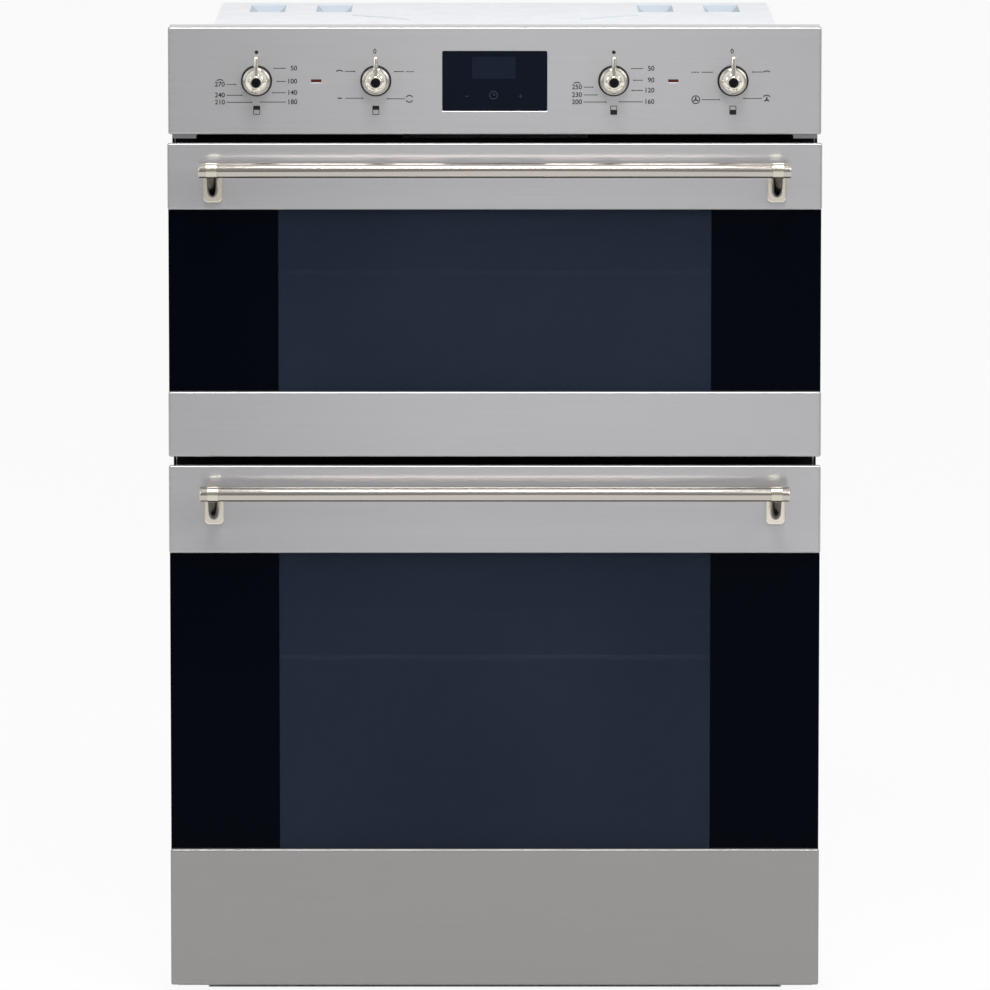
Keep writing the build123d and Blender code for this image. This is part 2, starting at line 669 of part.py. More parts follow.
def make_fan_cover(oven):
    """A shallow pan over the fan: a ring of inlet slots in front and outlets at the sides."""
    front = CAVITY_BACK - FAN_COVER_DEPTH
    outline = rounded_at(0, oven.middle, FAN_COVER_WIDTH, FAN_COVER_HEIGHT, FAN_COVER_CORNER_R)
    cover = plate(outline, front, CAVITY_BACK)
    cover -= plate(offset(outline, -FAN_SHEET), front + FAN_SHEET, CAVITY_BACK)
    slot_length = FAN_INLET_R - FAN_INLET_HUB_R
    slot_middle = (FAN_INLET_R + FAN_INLET_HUB_R) / 2
    for step in range(FAN_INLET_SLOTS):
        turn = Pos(0, oven.middle) * Rot(0, 0, 360 * step / FAN_INLET_SLOTS)
        slot = turn * Pos(slot_middle, 0) * SlotOverall(slot_length, FAN_INLET_SLOT)
        cover -= plate(slot, front, front + FAN_SHEET)
    half = FAN_COVER_WIDTH / 2
    for step in (-1, 0, 1):
        z = oven.middle + step * FAN_COVER_HEIGHT / 4
        outlet = Pos((front + CAVITY_BACK) / 2, z) * Rot(0, 0, 90)
        outlet *= SlotOverall(FAN_COVER_HEIGHT / 5, FAN_COVER_DEPTH / 3)
        cover -= side_plate(outlet, -half, half)
    return cover


def make_fan_impeller(oven):
    """A steel disc with upright blades, its hub and the motor's shaft."""
    disc_back = CAVITY_BACK - FAN_WALL_GAP
    disc_front = disc_back - FAN_SHEET
    blade_front = disc_front - FAN_BLADE_DEPTH
    centre = Pos(0, oven.middle)
    wheel = plate(centre * Circle(FAN_R), disc_front, disc_back)
    wheel += plate(centre * Circle(FAN_SHAFT_R * 3), disc_front - FAN_BLADE_DEPTH / 2, disc_front)
    blade_length = FAN_R / 2
    for step in range(FAN_BLADES):
        turn = centre * Rot(0, 0, 360 * step / FAN_BLADES)
        blade = turn * Pos(FAN_R - blade_length / 2 - FAN_SHEET, 0) * Rot(0, 0, 20)
        wheel += plate(blade * Rectangle(blade_length, FAN_SHEET), blade_front, disc_front)
    shaft_end = CAVITY_BACK + CAVITY_SHEET + FAN_MOTOR_LENGTH / 2
    return wheel + rod((0, disc_front, oven.middle), (0, shaft_end, oven.middle), FAN_SHAFT_R)


def make_fan_motor(oven):
    """The fan's motor behind the cavity, with its flange on the back wall."""
    front = CAVITY_BACK + CAVITY_SHEET
    centre = Pos(0, oven.middle)
    motor = plate(centre * Circle(FAN_MOTOR_R), front, front + FAN_MOTOR_LENGTH)
    motor += plate(centre * Circle(FAN_MOTOR_R * 1.4), front, front + 2 * FAN_SHEET)
    for step in (0.35, 0.65):
        y = front + FAN_MOTOR_LENGTH * step
        groove = Circle(FAN_MOTOR_R) - Circle(FAN_MOTOR_R - FAN_SHEET)
        motor -= plate(centre * groove, y, y + 2 * FAN_SHEET)
    bore_end = front + FAN_MOTOR_LENGTH * 0.6
    bore = rod((0, front, oven.middle), (0, bore_end, oven.middle), FAN_SHAFT_R + RUNNING_CLEARANCE)
    return motor - bore


def make_door_glass(oven):
    """The outer pane, as large as the door and behind its steel strips."""
    height = oven.top - oven.base - 2 * GLASS_INSET
    width = DOOR_WIDTH - 2 * GLASS_INSET
    outline = rounded_at(0, (oven.base + oven.top) / 2, width, height, TRIM_EDGE_R)
    return plate(outline, GLASS_FRONT, GLASS_BACK)


def folded_front(half_width, low, high, y_front, y_back, sheet, edge_radius):
    """A sheet folded back along all four sides, with soft edges towards the room."""
    skin = block(across(half_width), (y_front, y_back), (low, high))
    front_face = skin.faces().sort_by(Axis.Y)[0]
    corners = skin.edges().filter_by(Axis.Y)
    skin = fillet(front_face.edges() + corners, edge_radius)
    return skin - block(
        across(half_width - sheet), (y_front + sheet, y_back), (low + sheet, high - sheet)
    )


def make_trim(low, high):
    """A steel strip across the door, standing proud of the glass."""
    return folded_front(DOOR_WIDTH / 2, low, high, TRIM_FRONT, GLASS_FRONT, TRIM_SHEET, TRIM_EDGE_R)


def make_liner(oven):
    """The door's inner pan, open to the outer pane, with the window cut in its back."""
    low = oven.pivot + LINER_RISE
    high = oven.top - LINER_TOP_INSET
    outline = rounded_at(0, (low + high) / 2, LINER_WIDTH, high - low, LINER_CORNER_R)
    pan = plate(outline, GLASS_BACK, LINER_BACK)
    pan -= plate(offset(outline, -LINER_SHEET), GLASS_BACK, LINER_BACK - LINER_SHEET)
    window = rounded_at(0, oven.middle, WINDOW_WIDTH, window_height(oven), TRIM_EDGE_R)
    return pan - plate(window, LINER_BACK - LINER_SHEET, LINER_BACK)


def window_height(oven):
    """The liner's window is a little taller than the glass between the strips."""
    return oven.glass_high - oven.glass_low + 2 * WINDOW_MARGIN


def make_inner_glass(oven):
    """The inner pane, laid in the liner over its window."""
    back = LINER_BACK - LINER_SHEET
    width = WINDOW_WIDTH + 2 * INNER_PANE_LAP
    height = window_height(oven) + 2 * INNER_PANE_LAP
    return plate(rounded_at(0, oven.middle, width, height, TRIM_EDGE_R), back - PANE, back)


def make_hinge_arm(oven):
    """The right fixed arm: an eye ahead of the face sheet and a plate bolted behind it."""
    eye = Pos(PIVOT_Y, oven.pivot) * Circle(EYE_R)
    tail = FACE_Y + HINGE_PLATE_THICKNESS
    run = Pos((PIVOT_Y + tail) / 2, oven.pivot) * Rectangle(tail - PIVOT_Y, 2 * ARM_HALF_HEIGHT)
    pin_hole = Pos(PIVOT_Y, oven.pivot) * Circle(PIN_R + RUNNING_CLEARANCE)
    arm = side_plate(eye + run - pin_hole, HINGE_X - ARM_THICKNESS / 2, HINGE_X + ARM_THICKNESS / 2)
    mounting = Pos(HINGE_X, oven.pivot) * RectangleRounded(
        HINGE_PLATE_WIDTH, HINGE_PLATE_HEIGHT, PIN_R
    )
    return arm + plate(mounting, FACE_Y, tail)


def make_door_hinge(oven):
    """The right door bracket: two cheeks below the liner with the pin through them."""
    inner = ARM_THICKNESS / 2 + HINGE_CLEARANCE
    outer = inner + CHEEK_THICKNESS
    seat = oven.pivot + LINER_RISE
    eye = Pos(PIVOT_Y, oven.pivot) * Circle(EYE_R)
    neck = Pos(PIVOT_Y, (oven.pivot + seat) / 2) * Rectangle(2 * EYE_R, seat - oven.pivot)
    hinge = side_plate(eye + neck, HINGE_X - outer, HINGE_X - inner)
    hinge += side_plate(eye + neck, HINGE_X + inner, HINGE_X + outer)
    flange_low = seat - (LINER_RISE - EYE_R) / 2
    flange_x = (HINGE_X - outer, HINGE_X + outer)
    hinge += block(flange_x, (PIVOT_Y - EYE_R, PIVOT_Y + EYE_R), (flange_low, seat))
    pin_ends = [(HINGE_X + side * outer, PIVOT_Y, oven.pivot) for side in (-1, 1)]
    return hinge + rod(*pin_ends, PIN_R)


def handle_axis(oven):
    """The handle bar's centre line, in Y and Z."""
    return TRIM_FRONT - HANDLE_STANDOFF, oven.top - HANDLE_DROP


def make_handle_bar(oven):
    """A round bar with softened ends."""
    y, z = handle_axis(oven)
    half = HANDLE_LENGTH / 2
    bar = rod((-half, y, z), (half, y, z), HANDLE_R)
    return fillet(bar.edges().filter_by(GeomType.CIRCLE), HANDLE_END_R)


def make_handle_bracket(oven):
    """The right bracket: a rounded foot, a round arm that sweeps up from it, and the bar's collar."""
    bar_y, bar_z = handle_axis(oven)
    foot_top = oven.top - BRACKET_PLATE_TOP
    foot_low = foot_top - BRACKET_PLATE_HEIGHT
    foot_front = TRIM_FRONT - BRACKET_PLATE_THICKNESS
    foot_outline = rounded_at(
        BRACKET_X, (foot_top + foot_low) / 2, BRACKET_PLATE_WIDTH, BRACKET_PLATE_HEIGHT, BRACKET_CORNER_R
    )
    foot = plate(foot_outline, foot_front, TRIM_FRONT)
    foot = fillet(foot.faces().sort_by(Axis.Y)[0].edges(), BRACKET_PLATE_THICKNESS / 3)

    root = (TRIM_FRONT - BRACKET_PLATE_THICKNESS / 2, foot_low + BRACKET_ARM_RISE)
    sweep_up = TangentArc(root, (bar_y, bar_z), tangent=(-1, 0))
    path = side_plane(BRACKET_X) * sweep_up
    section = Plane(origin=path @ 0, z_dir=path % 0) * Circle(BRACKET_ARM_R)
    arm = sweep(section, path)
    half = BRACKET_ARM_R + COLLAR_LIP
    ends = [(BRACKET_X + side * half, bar_y, bar_z) for side in (-1, 1)]
    collar = rod(*ends, HANDLE_R + COLLAR_WALL)
    bore = [(BRACKET_X + side * 2 * half, bar_y, bar_z) for side in (-1, 1)]
    return foot + arm + collar - rod(*bore, HANDLE_R + RUNNING_CLEARANCE)


def make_control_panel():
    """The steel fascia, folded back on all sides and cut for spindles, display and lamps."""
    fascia = folded_front(
        FASCIA_WIDTH / 2, FASCIA_BASE, FASCIA_TOP, FASCIA_FRONT, FRAME_FRONT, FASCIA_SHEET, FASCIA_EDGE_R
    )
    holes = [Pos(x, FASCIA_MIDDLE) * Circle(SPINDLE_CLEARANCE_HOLE) for x in KNOB_X]
    holes.append(
        rounded_at(
            0, FASCIA_MIDDLE, DISPLAY_WIDTH + DISPLAY_FIT, DISPLAY_HEIGHT + DISPLAY_FIT, DISPLAY_CORNER_R
        )
    )
    for x in across(INDICATOR_X):
        width = INDICATOR_WIDTH + DISPLAY_FIT
        holes.append(Pos(x, FASCIA_MIDDLE) * Rectangle(width, INDICATOR_HEIGHT + DISPLAY_FIT))
    for hole in holes:
        fascia -= plate(hole, FASCIA_FRONT, FASCIA_INNER)
    return fascia


def make_display_glass():
    """The black glass over the clock, a little proud of the fascia."""
    outline = rounded_at(0, FASCIA_MIDDLE, DISPLAY_WIDTH, DISPLAY_HEIGHT, DISPLAY_CORNER_R)
    glass = plate(outline, FASCIA_FRONT - DISPLAY_PROUD, FASCIA_INNER)
    front = glass.faces().sort_by(Axis.Y)[0]
    return chamfer(front.edges(), DISPLAY_PROUD / 2)


def make_display_module():
    """The clock's housing between the fascia and the carrier, with its plug row behind."""
    width = DISPLAY_WIDTH + 2 * DISPLAY_FRAME
    height = CARRIER_HEIGHT - DISPLAY_FRAME
    outline = rounded_at(0, FASCIA_MIDDLE, width, height, DISPLAY_FRAME / 2)
    module = plate(outline, FASCIA_INNER, CARRIER_FRONT)
    for step in (-1, 0, 1):
        rib = Pos(step * DISPLAY_WIDTH / 3, FASCIA_MIDDLE) * Rectangle(DISPLAY_FRAME, DISPLAY_HEIGHT / 2)
        module -= plate(rib, CARRIER_FRONT - DISPLAY_FRAME / 2, CARRIER_FRONT)
    return module


def make_indicator_lens(x):
    """A slim lens through the fascia, as long as the stretch to the carrier."""
    head = Pos(x, FASCIA_MIDDLE) * Rectangle(INDICATOR_WIDTH, INDICATOR_HEIGHT)
    lens = plate(head, FASCIA_FRONT - INDICATOR_PROUD, FASCIA_INNER)
    body = Rectangle(INDICATOR_WIDTH + DISPLAY_FRAME, INDICATOR_HEIGHT + DISPLAY_FRAME)
    return lens + plate(Pos(x, FASCIA_MIDDLE) * body, FASCIA_INNER, CARRIER_FRONT)


def make_switch_carrier():
    """A channel behind the fascia that carries the switches, its edges against the face sheet."""
    low = FASCIA_MIDDLE - CARRIER_HEIGHT / 2
    high = FASCIA_MIDDLE + CARRIER_HEIGHT / 2
    half = CARRIER_WIDTH / 2
    channel = block(across(half), (CARRIER_FRONT, FRAME_FRONT), (low, high))
    channel -= block(
        across(half), (CARRIER_BACK, FRAME_FRONT), (low + CARRIER_SHEET, high - CARRIER_SHEET)
    )
    for x in KNOB_X:
        hole = Pos(x, FASCIA_MIDDLE) * Circle(SWITCH_NECK_R + RUNNING_CLEARANCE)
        channel -= plate(hole, CARRIER_FRONT, CARRIER_BACK)
    return channel


def make_switch(x, outline):
    """A switch or thermostat: a neck through the carrier, a body behind it and two tabs."""
    centre = Pos(x, FASCIA_MIDDLE)
    back = CARRIER_BACK + SWITCH_DEPTH
    switch = plate(centre * outline, CARRIER_BACK, back)
    switch += plate(centre * Circle(SWITCH_NECK_R), CARRIER_FRONT - SWITCH_NECK, CARRIER_BACK)
    for side in (-1, 1):
        tab = centre * Pos(side * SWITCH_R / 2, 0) * Rectangle(CARRIER_SHEET, SWITCH_TAB)
        switch += plate(tab, back, back + SWITCH_TAB)
    bore = centre * Circle(SPINDLE_R + RUNNING_CLEARANCE)
    return switch - plate(bore, CARRIER_FRONT - SWITCH_NECK, CARRIER_BACK + SWITCH_DEPTH / 2)


def make_bezel(x):
    """The dark ring behind a knob."""
    ring = Circle(BEZEL_R) - Circle(SPINDLE_CLEARANCE_HOLE)
    bezel = plate(Pos(x, FASCIA_MIDDLE) * ring, FASCIA_FRONT - BEZEL_THICKNESS, FASCIA_FRONT)
    rim = bezel.faces().sort_by(Axis.Y)[0].outer_wire()
    return fillet(rim.edges(), BEZEL_THICKNESS / 2)


KNOB_BACK = BEZEL_THICKNESS + KNOB_GAP


def turned(x, outline):
    """An outline in radius and distance ahead of the fascia, spun about a knob's axis."""
    plane = Plane(origin=(x, FASCIA_FRONT, FASCIA_MIDDLE), x_dir=(1, 0, 0), z_dir=(0, 0, -1))
    axle = Axis((x, FASCIA_FRONT, FASCIA_MIDDLE), (0, 1, 0))
    return revolve(plane * outline, axle)


def make_knob(x):
    """A turned bell with a slim collar, and a lever that points up from the collar."""
    bore = NOSE_R + RUNNING_CLEARANCE
    rim = KNOB_BACK + KNOB_BASE_RIM
    shoulder = KNOB_BACK + KNOB_SHOULDER
    nose_edge = (KNOB_COLLAR_R - bore) / 2
    bell = TangentArc((KNOB_BASE_R, rim), (KNOB_COLLAR_R, shoulder), tangent=(0, 1))
    outline = bell + Polyline(
        (KNOB_COLLAR_R, shoulder),
        (KNOB_COLLAR_R, KNOB_LENGTH - nose_edge),
        (KNOB_COLLAR_R - nose_edge, KNOB_LENGTH),
        (bore, KNOB_LENGTH),
        (bore, KNOB_BACK),
        (KNOB_BASE_R, KNOB_BACK),
        (KNOB_BASE_R, rim),
    )
    knob = turned(x, make_face(outline))
    lever_y = FASCIA_FRONT - LEVER_STANDOFF
    root = (x, lever_y, FASCIA_MIDDLE + (bore + KNOB_COLLAR_R) / 2)
    tip = (x, lever_y, FASCIA_MIDDLE + LEVER_REACH - LEVER_R)
    return knob + rod(root, tip, LEVER_R) + Pos(*tip) * Sphere(LEVER_R)


def make_spindle(x):
    """The switch's shaft, with the thicker black nose that shows at the knob's tip."""
    tip = KNOB_LENGTH + NOSE_PROUD
    start = FASCIA_FRONT - CARRIER_BACK - SWITCH_DEPTH / 3
    outline = Polyline(
        (0, start),
        (SPINDLE_R, start),
        (SPINDLE_R, KNOB_BACK),
        (NOSE_R, KNOB_BACK),
        (NOSE_R, tip - NOSE_R / 3),
        (NOSE_R * 2 / 3, tip),
        (0, tip),
        (0, start),
    )
    return turned(x, make_face(outline))


def make_end_bracket():
    """The right bright angle below the fascia's end, against the face sheet."""
    outer = FRAME_WIDTH / 2 - END_BRACKET_INSET
    x = (outer - END_BRACKET_WIDTH, outer)
    front = FASCIA_FRONT + END_BRACKET_INSET
    low = FASCIA_BASE - END_BRACKET_LIP
    bracket = block(x, (front, FRAME_FRONT), (low, FASCIA_BASE))
    return bracket - block(
        x,
        (front + END_BRACKET_SHEET, FRAME_FRONT - END_BRACKET_SHEET),
        (low, FASCIA_BASE - END_BRACKET_SHEET),
    )


SCROLL_R = BLOWER_R + SCROLL_GAP + SCROLL_SHEET
BLOWER_Y = FACE_Y + BLOWER_FROM_FACE
OUTLET_FLOOR = FASCIA_BASE - OUTLET_HEIGHT
BLOWER_Z = OUTLET_FLOOR + SCROLL_R
SCROLL_INNER_HALF = BLOWER_LENGTH / 2 + SCROLL_END_GAP
SCROLL_HALF = SCROLL_INNER_HALF + SCROLL_SHEET


def make_blower_housing():
    """A sheet scroll round the wheel, its duct to the air slot, and tabs up to the roof."""
    outer = Pos(BLOWER_Y, BLOWER_Z) * Circle(SCROLL_R) + Polygon(
        (FACE_Y, OUTLET_FLOOR),
        (BLOWER_Y, OUTLET_FLOOR),
        (BLOWER_Y, BLOWER_Z),
        (FACE_Y, FASCIA_BASE),
        align=None,
    )
    housing = side_plate(outer, -SCROLL_HALF, SCROLL_HALF)
    housing -= side_plate(offset(outer, -SCROLL_SHEET), -SCROLL_INNER_HALF, SCROLL_INNER_HALF)
    housing -= block(
        across(SCROLL_INNER_HALF),
        (FACE_Y, FACE_Y + 2 * SCROLL_SHEET),
        (OUTLET_FLOOR + SCROLL_SHEET, FASCIA_BASE - SCROLL_SHEET),
    )
    housing -= block(
        across(SCROLL_INNER_HALF),
        (BLOWER_Y + SCROLL_GAP, BLOWER_Y + SCROLL_R),
        (BLOWER_Z, BLOWER_Z + SCROLL_R),
    )
    for x in mirrored_limits(SCROLL_INNER_HALF, SCROLL_HALF):
        housing += block(x, (BLOWER_Y - BLOWER_R / 2, BLOWER_Y + BLOWER_R / 2), (BLOWER_Z, CASING_ROOF))
    ends = [(side * SCROLL_HALF, BLOWER_Y, BLOWER_Z) for side in (-1, 1)]
    return housing - rod(*ends, BLOWER_SHAFT_R + RUNNING_CLEARANCE)


def make_blower_wheel():
    """A cross-flow wheel: raked blades between two discs, with a stub shaft at each end."""
    half = BLOWER_LENGTH / 2
    centre = Pos(BLOWER_Y, BLOWER_Z)
    wheel = side_plate(centre * Circle(BLOWER_R), -half, -half + BLOWER_DISC)
    wheel += side_plate(centre * Circle(BLOWER_R), half - BLOWER_DISC, half)
    for step in range(BLOWER_BLADES):
        turn = centre * Rot(0, 0, 360 * step / BLOWER_BLADES)
        place = turn * Pos(BLOWER_R - BLOWER_BLADE_DEPTH / 2 - BLOWER_BLADE, 0) * Rot(0, 0, 30)
        blade = place * Rectangle(BLOWER_BLADE_DEPTH, BLOWER_BLADE)
        wheel += side_plate(blade, -half + BLOWER_DISC, half - BLOWER_DISC)
    stubs = [(-SCROLL_HALF, -half), (half, SCROLL_HALF + BLOWER_MOTOR_LENGTH / 2)]
    for start, end in stubs:
        wheel += rod((start, BLOWER_Y, BLOWER_Z), (end, BLOWER_Y, BLOWER_Z), BLOWER_SHAFT_R)
    return wheel


def make_blower_motor():
    """The blower's motor against the right end of the scroll."""
    centre = Pos(BLOWER_Y, BLOWER_Z)
    end = SCROLL_HALF + BLOWER_MOTOR_LENGTH
    motor = side_plate(centre * Circle(BLOWER_MOTOR_R), SCROLL_HALF, end)
    rim = motor.faces().sort_by(Axis.X)[-1]
    motor = fillet(rim.edges(), BLOWER_MOTOR_R / 6)
    bore = centre * Circle(BLOWER_SHAFT_R + RUNNING_CLEARANCE)
    return motor - side_plate(bore, SCROLL_HALF, SCROLL_HALF + BLOWER_MOTOR_LENGTH * 0.6)


def make_terminal_box():
    """The mains terminal cover on the back, with a gland for the cable in its underside."""
    z = CASING_TOP - TERMINAL_FROM_TOP - TERMINAL_HEIGHT / 2
    low = z - TERMINAL_HEIGHT / 2
    back = BACK_Y + TERMINAL_DEPTH
    outline = rounded_at(TERMINAL_X, z, TERMINAL_WIDTH, TERMINAL_HEIGHT, 2 * TERMINAL_WALL)
    box = plate(outline, BACK_Y, back)
    box = fillet(box.faces().sort_by(Axis.Y)[-1].edges(), TERMINAL_WALL)
    box -= plate(offset(outline, -TERMINAL_WALL), BACK_Y, back - TERMINAL_WALL)
    gland_levels = (low - CABLE_INLET_R, low + TERMINAL_WALL)
    gland_ends = [(TERMINAL_X, BACK_Y + TERMINAL_DEPTH / 2, level) for level in gland_levels]
    box += rod(*gland_ends, CABLE_INLET_R + TERMINAL_WALL)
    return box - rod(*gland_ends, CABLE_INLET_R)


def make_screw(seat, outward):
    """A pan-head screw: its seat is the point under the head, and outward points to the head."""
    out = Vector(*outward)
    seat = Vector(*seat)
    head = rod(tuple(seat), tuple(seat + out * SCREW_HEAD), SCREW_HEAD_R)
    head = chamfer(head.faces().sort_by(Axis(seat, out))[-1].edges(), SCREW_HEAD / 3)
    return head + rod(tuple(seat - out * SCREW_SHANK), tuple(seat), SCREW_SHANK_R)


def make_screws():
    """All the screws of the casing."""
    screws = [make_screw((x, BACK_Y, z), (0, 1, 0)) for x, z in BACK_SCREWS]
    for y, z in SIDE_SCREWS:
        screws.append(make_screw((CASING_HALF, y, z), (1, 0, 0)))
        screws.append(make_screw((-CASING_HALF, y, z), (-1, 0, 0)))
    return screws


def write_casing():
    """The sheet-metal body and what is fixed to it."""
    save("base_tray", make_base_tray())
    right_panel, left_panel = mirrored(make_side_panel())
    save("side_panel_right", right_panel)
    save("side_panel_left", left_panel)
    save("rear_panel", make_rear_panel())
    save("top_cover", make_top_cover())
    save("front_frame", make_front_frame())
    save("fascia_brackets", *mirrored(make_end_bracket()))
    save("terminal_box", make_terminal_box())
    save("casing_screws", *make_screws())


def write_cavities():
    """Both ovens: the boxes, seals, heating elements, racks, shelves and lamps."""
    for oven in OVENS:
        save(f"{oven.name}_cavity", make_cavity(oven))
        save(f"{oven.name}_grill_element", make_grill_element(oven))
        save(f"{oven.name}_shelf", make_shelf(oven))
    save("door_seals", *[make_seal(oven) for oven in OVENS])
    save("insulation", *[make_insulation(oven) for oven in OVENS])
    save("base_elements", *[make_base_element(oven) for oven in OVENS])
    save("rack_guides", *[guide for oven in OVENS for guide in mirrored(make_rack_guide(oven))])
    save("oven_lamps", *[make_lamp(oven) for oven in OVENS])
    save("fan_ring_element", make_ring_element(LOWER))
    save("fan_cover", make_fan_cover(LOWER))
    save("fan_motor", make_fan_motor(LOWER))
    save("fan_impeller", make_fan_impeller(LOWER))


def write_doors():
    """Both drop-down doors and the fixed arms that they hang on."""
    for oven in OVENS:
        save(f"{oven.name}_door_glass", make_door_glass(oven))
        save(f"{oven.name}_top_trim", make_trim(oven.glass_high, oven.top))
        save(f"{oven.name}_bottom_trim", make_trim(oven.base, oven.glass_low))
        save(f"{oven.name}_door_liner", make_liner(oven))
        save(f"{oven.name}_inner_glass", make_inner_glass(oven))
        save(f"{oven.name}_handle_bar", make_handle_bar(oven))
        save(f"{oven.name}_handle_brackets", *mirrored(make_handle_bracket(oven)))
        save(f"{oven.name}_door_hinges", *mirrored(make_door_hinge(oven)))
    save("hinge_arms", *[arm for oven in OVENS for arm in mirrored(make_hinge_arm(oven))])


def write_controls():
    """The control panel, its switches and knobs, and the blower that cools them."""
    save("control_panel", make_control_panel())
    save("display_glass", make_display_glass())
    save("display_module", make_display_module())
    save("indicator_lenses", *[make_indicator_lens(x) for x in across(INDICATOR_X)])
    save("switch_carrier", make_switch_carrier())
    round_body = Circle(SWITCH_R)
    square_body = RectangleRounded(2 * SWITCH_R, 2 * SWITCH_R, SWITCH_R / 4)
    save("thermostats", *[make_switch(x, round_body) for x in KNOB_X[::2]])
    save("selector_switches", *[make_switch(x, square_body) for x in KNOB_X[1::2]])
    save("knob_bezels", *[make_bezel(x) for x in KNOB_X])
    for name, x in zip(KNOB_NAMES, KNOB_X):
        save(f"{name}_knob", make_knob(x))
        save(f"{name}_spindle", make_spindle(x))
    save("blower_housing", make_blower_housing())
    save("blower_wheel", make_blower_wheel())
    save("blower_motor", make_blower_motor())


os.makedirs("parts", exist_ok=True)
write_casing()
write_cavities()
write_doors()
write_controls()
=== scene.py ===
import math

import bmesh
import bpy
from mathutils import Matrix, Vector


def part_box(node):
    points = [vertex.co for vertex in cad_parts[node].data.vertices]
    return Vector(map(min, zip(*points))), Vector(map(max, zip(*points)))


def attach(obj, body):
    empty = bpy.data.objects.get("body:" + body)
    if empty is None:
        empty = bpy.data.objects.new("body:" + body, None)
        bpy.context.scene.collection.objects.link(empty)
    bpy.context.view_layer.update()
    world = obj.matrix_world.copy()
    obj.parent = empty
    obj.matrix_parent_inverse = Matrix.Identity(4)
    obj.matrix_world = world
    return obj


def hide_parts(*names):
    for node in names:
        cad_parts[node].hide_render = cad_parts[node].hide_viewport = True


# A built-in double oven, dressed round its CAD frame. Metres: X runs right, Y runs back and Z runs up.

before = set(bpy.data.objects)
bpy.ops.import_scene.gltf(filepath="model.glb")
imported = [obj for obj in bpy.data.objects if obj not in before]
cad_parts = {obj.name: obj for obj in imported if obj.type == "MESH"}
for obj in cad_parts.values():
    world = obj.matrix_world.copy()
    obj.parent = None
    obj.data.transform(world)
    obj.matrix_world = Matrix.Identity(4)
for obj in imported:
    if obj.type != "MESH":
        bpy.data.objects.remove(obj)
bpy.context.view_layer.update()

MM = 0.001
SAME_PLACE = 0.001 * MM


# Colours and nodes

def srgb(code):
    """A hex colour as it is seen on a screen, turned to linear."""
    channels = [int(code[place:place + 2], 16) / 255 for place in (0, 2, 4)]
    linear = [c / 12.92 if c <= 0.04045 else ((c + 0.055) / 1.055) ** 2.4 for c in channels]
    return (*linear, 1.0)


def add(tree, kind, settings, inputs):
    """One node: its own settings, then each input as a value or as another node's output."""
    node = tree.nodes.new(kind)
    for name, value in settings.items():
        setattr(node, name, value)
    for key, value in inputs.items():
        if isinstance(value, bpy.types.NodeSocket):
            tree.links.new(value, node.inputs[key])
        else:
            node.inputs[key].default_value = value
    return node


def start(name):
    """An empty material, its node tree and the output of its Object coordinates."""
    material = bpy.data.materials.new(name)
    material.use_nodes = True
    tree = material.node_tree
    tree.nodes.clear()
    place = add(tree, "ShaderNodeTexCoord", {}, {})
    return material, tree, place.outputs["Object"]


def close(tree, shader):
    """Send a shader to the material's output."""
    add(tree, "ShaderNodeOutputMaterial", {}, {"Surface": shader.outputs[0]})


# Metals

def brushed_steel(name, dark, light):
    """Stainless sheet, brushed from side to side: its grain scatters most light and mirrors the rest."""
    material, tree, place = start(name)
    # The real grain is about 0.1 mm wide; it is drawn 0.9 mm wide, so that it shows, in strokes of 90 mm
    strokes = add(tree, "ShaderNodeMapping", {}, {"Vector": place, "Scale": (11, 11, 1100)})
    grain = add(tree, "ShaderNodeTexNoise", {}, {"Vector": strokes.outputs[0], "Scale": 1.0, "Detail": 4.0})
    tone = add(
        tree, "ShaderNodeMix", {"data_type": "RGBA"},
        {0: grain.outputs[0], 6: srgb(dark), 7: srgb(light)},
    )
    rough = add(
        tree, "ShaderNodeMapRange", {},
        {"Value": grain.outputs[0], "To Min": 0.10, "To Max": 0.15},
    )
    shader = add(
        tree, "ShaderNodeBsdfPrincipled", {},
        {
            "Base Color": tone.outputs[2], "Metallic": 0.45, "Roughness": rough.outputs[0],
            "Anisotropic": 0.3, "Anisotropic Rotation": 0.25,
        },
    )
    close(tree, shader)
    return material


def satin_nickel():
    """Nickel-plated tube, satin finished: warm, with a long soft highlight."""
    material, tree, place = start("satin_nickel_plate")
    # Polishing marks 1.5 mm apart, drawn out 40 mm along the bar
    strokes = add(tree, "ShaderNodeMapping", {}, {"Vector": place, "Scale": (25, 650, 650)})
    marks = add(tree, "ShaderNodeTexNoise", {}, {"Vector": strokes.outputs[0], "Scale": 1.0, "Detail": 3.0})
    rough = add(
        tree, "ShaderNodeMapRange", {},
        {"Value": marks.outputs[0], "To Min": 0.13, "To Max": 0.20},
    )
    shader = add(
        tree, "ShaderNodeBsdfPrincipled", {},
        {"Base Color": srgb("C3BCB4"), "Metallic": 1.0, "Roughness": rough.outputs[0]},
    )
    close(tree, shader)
    return material


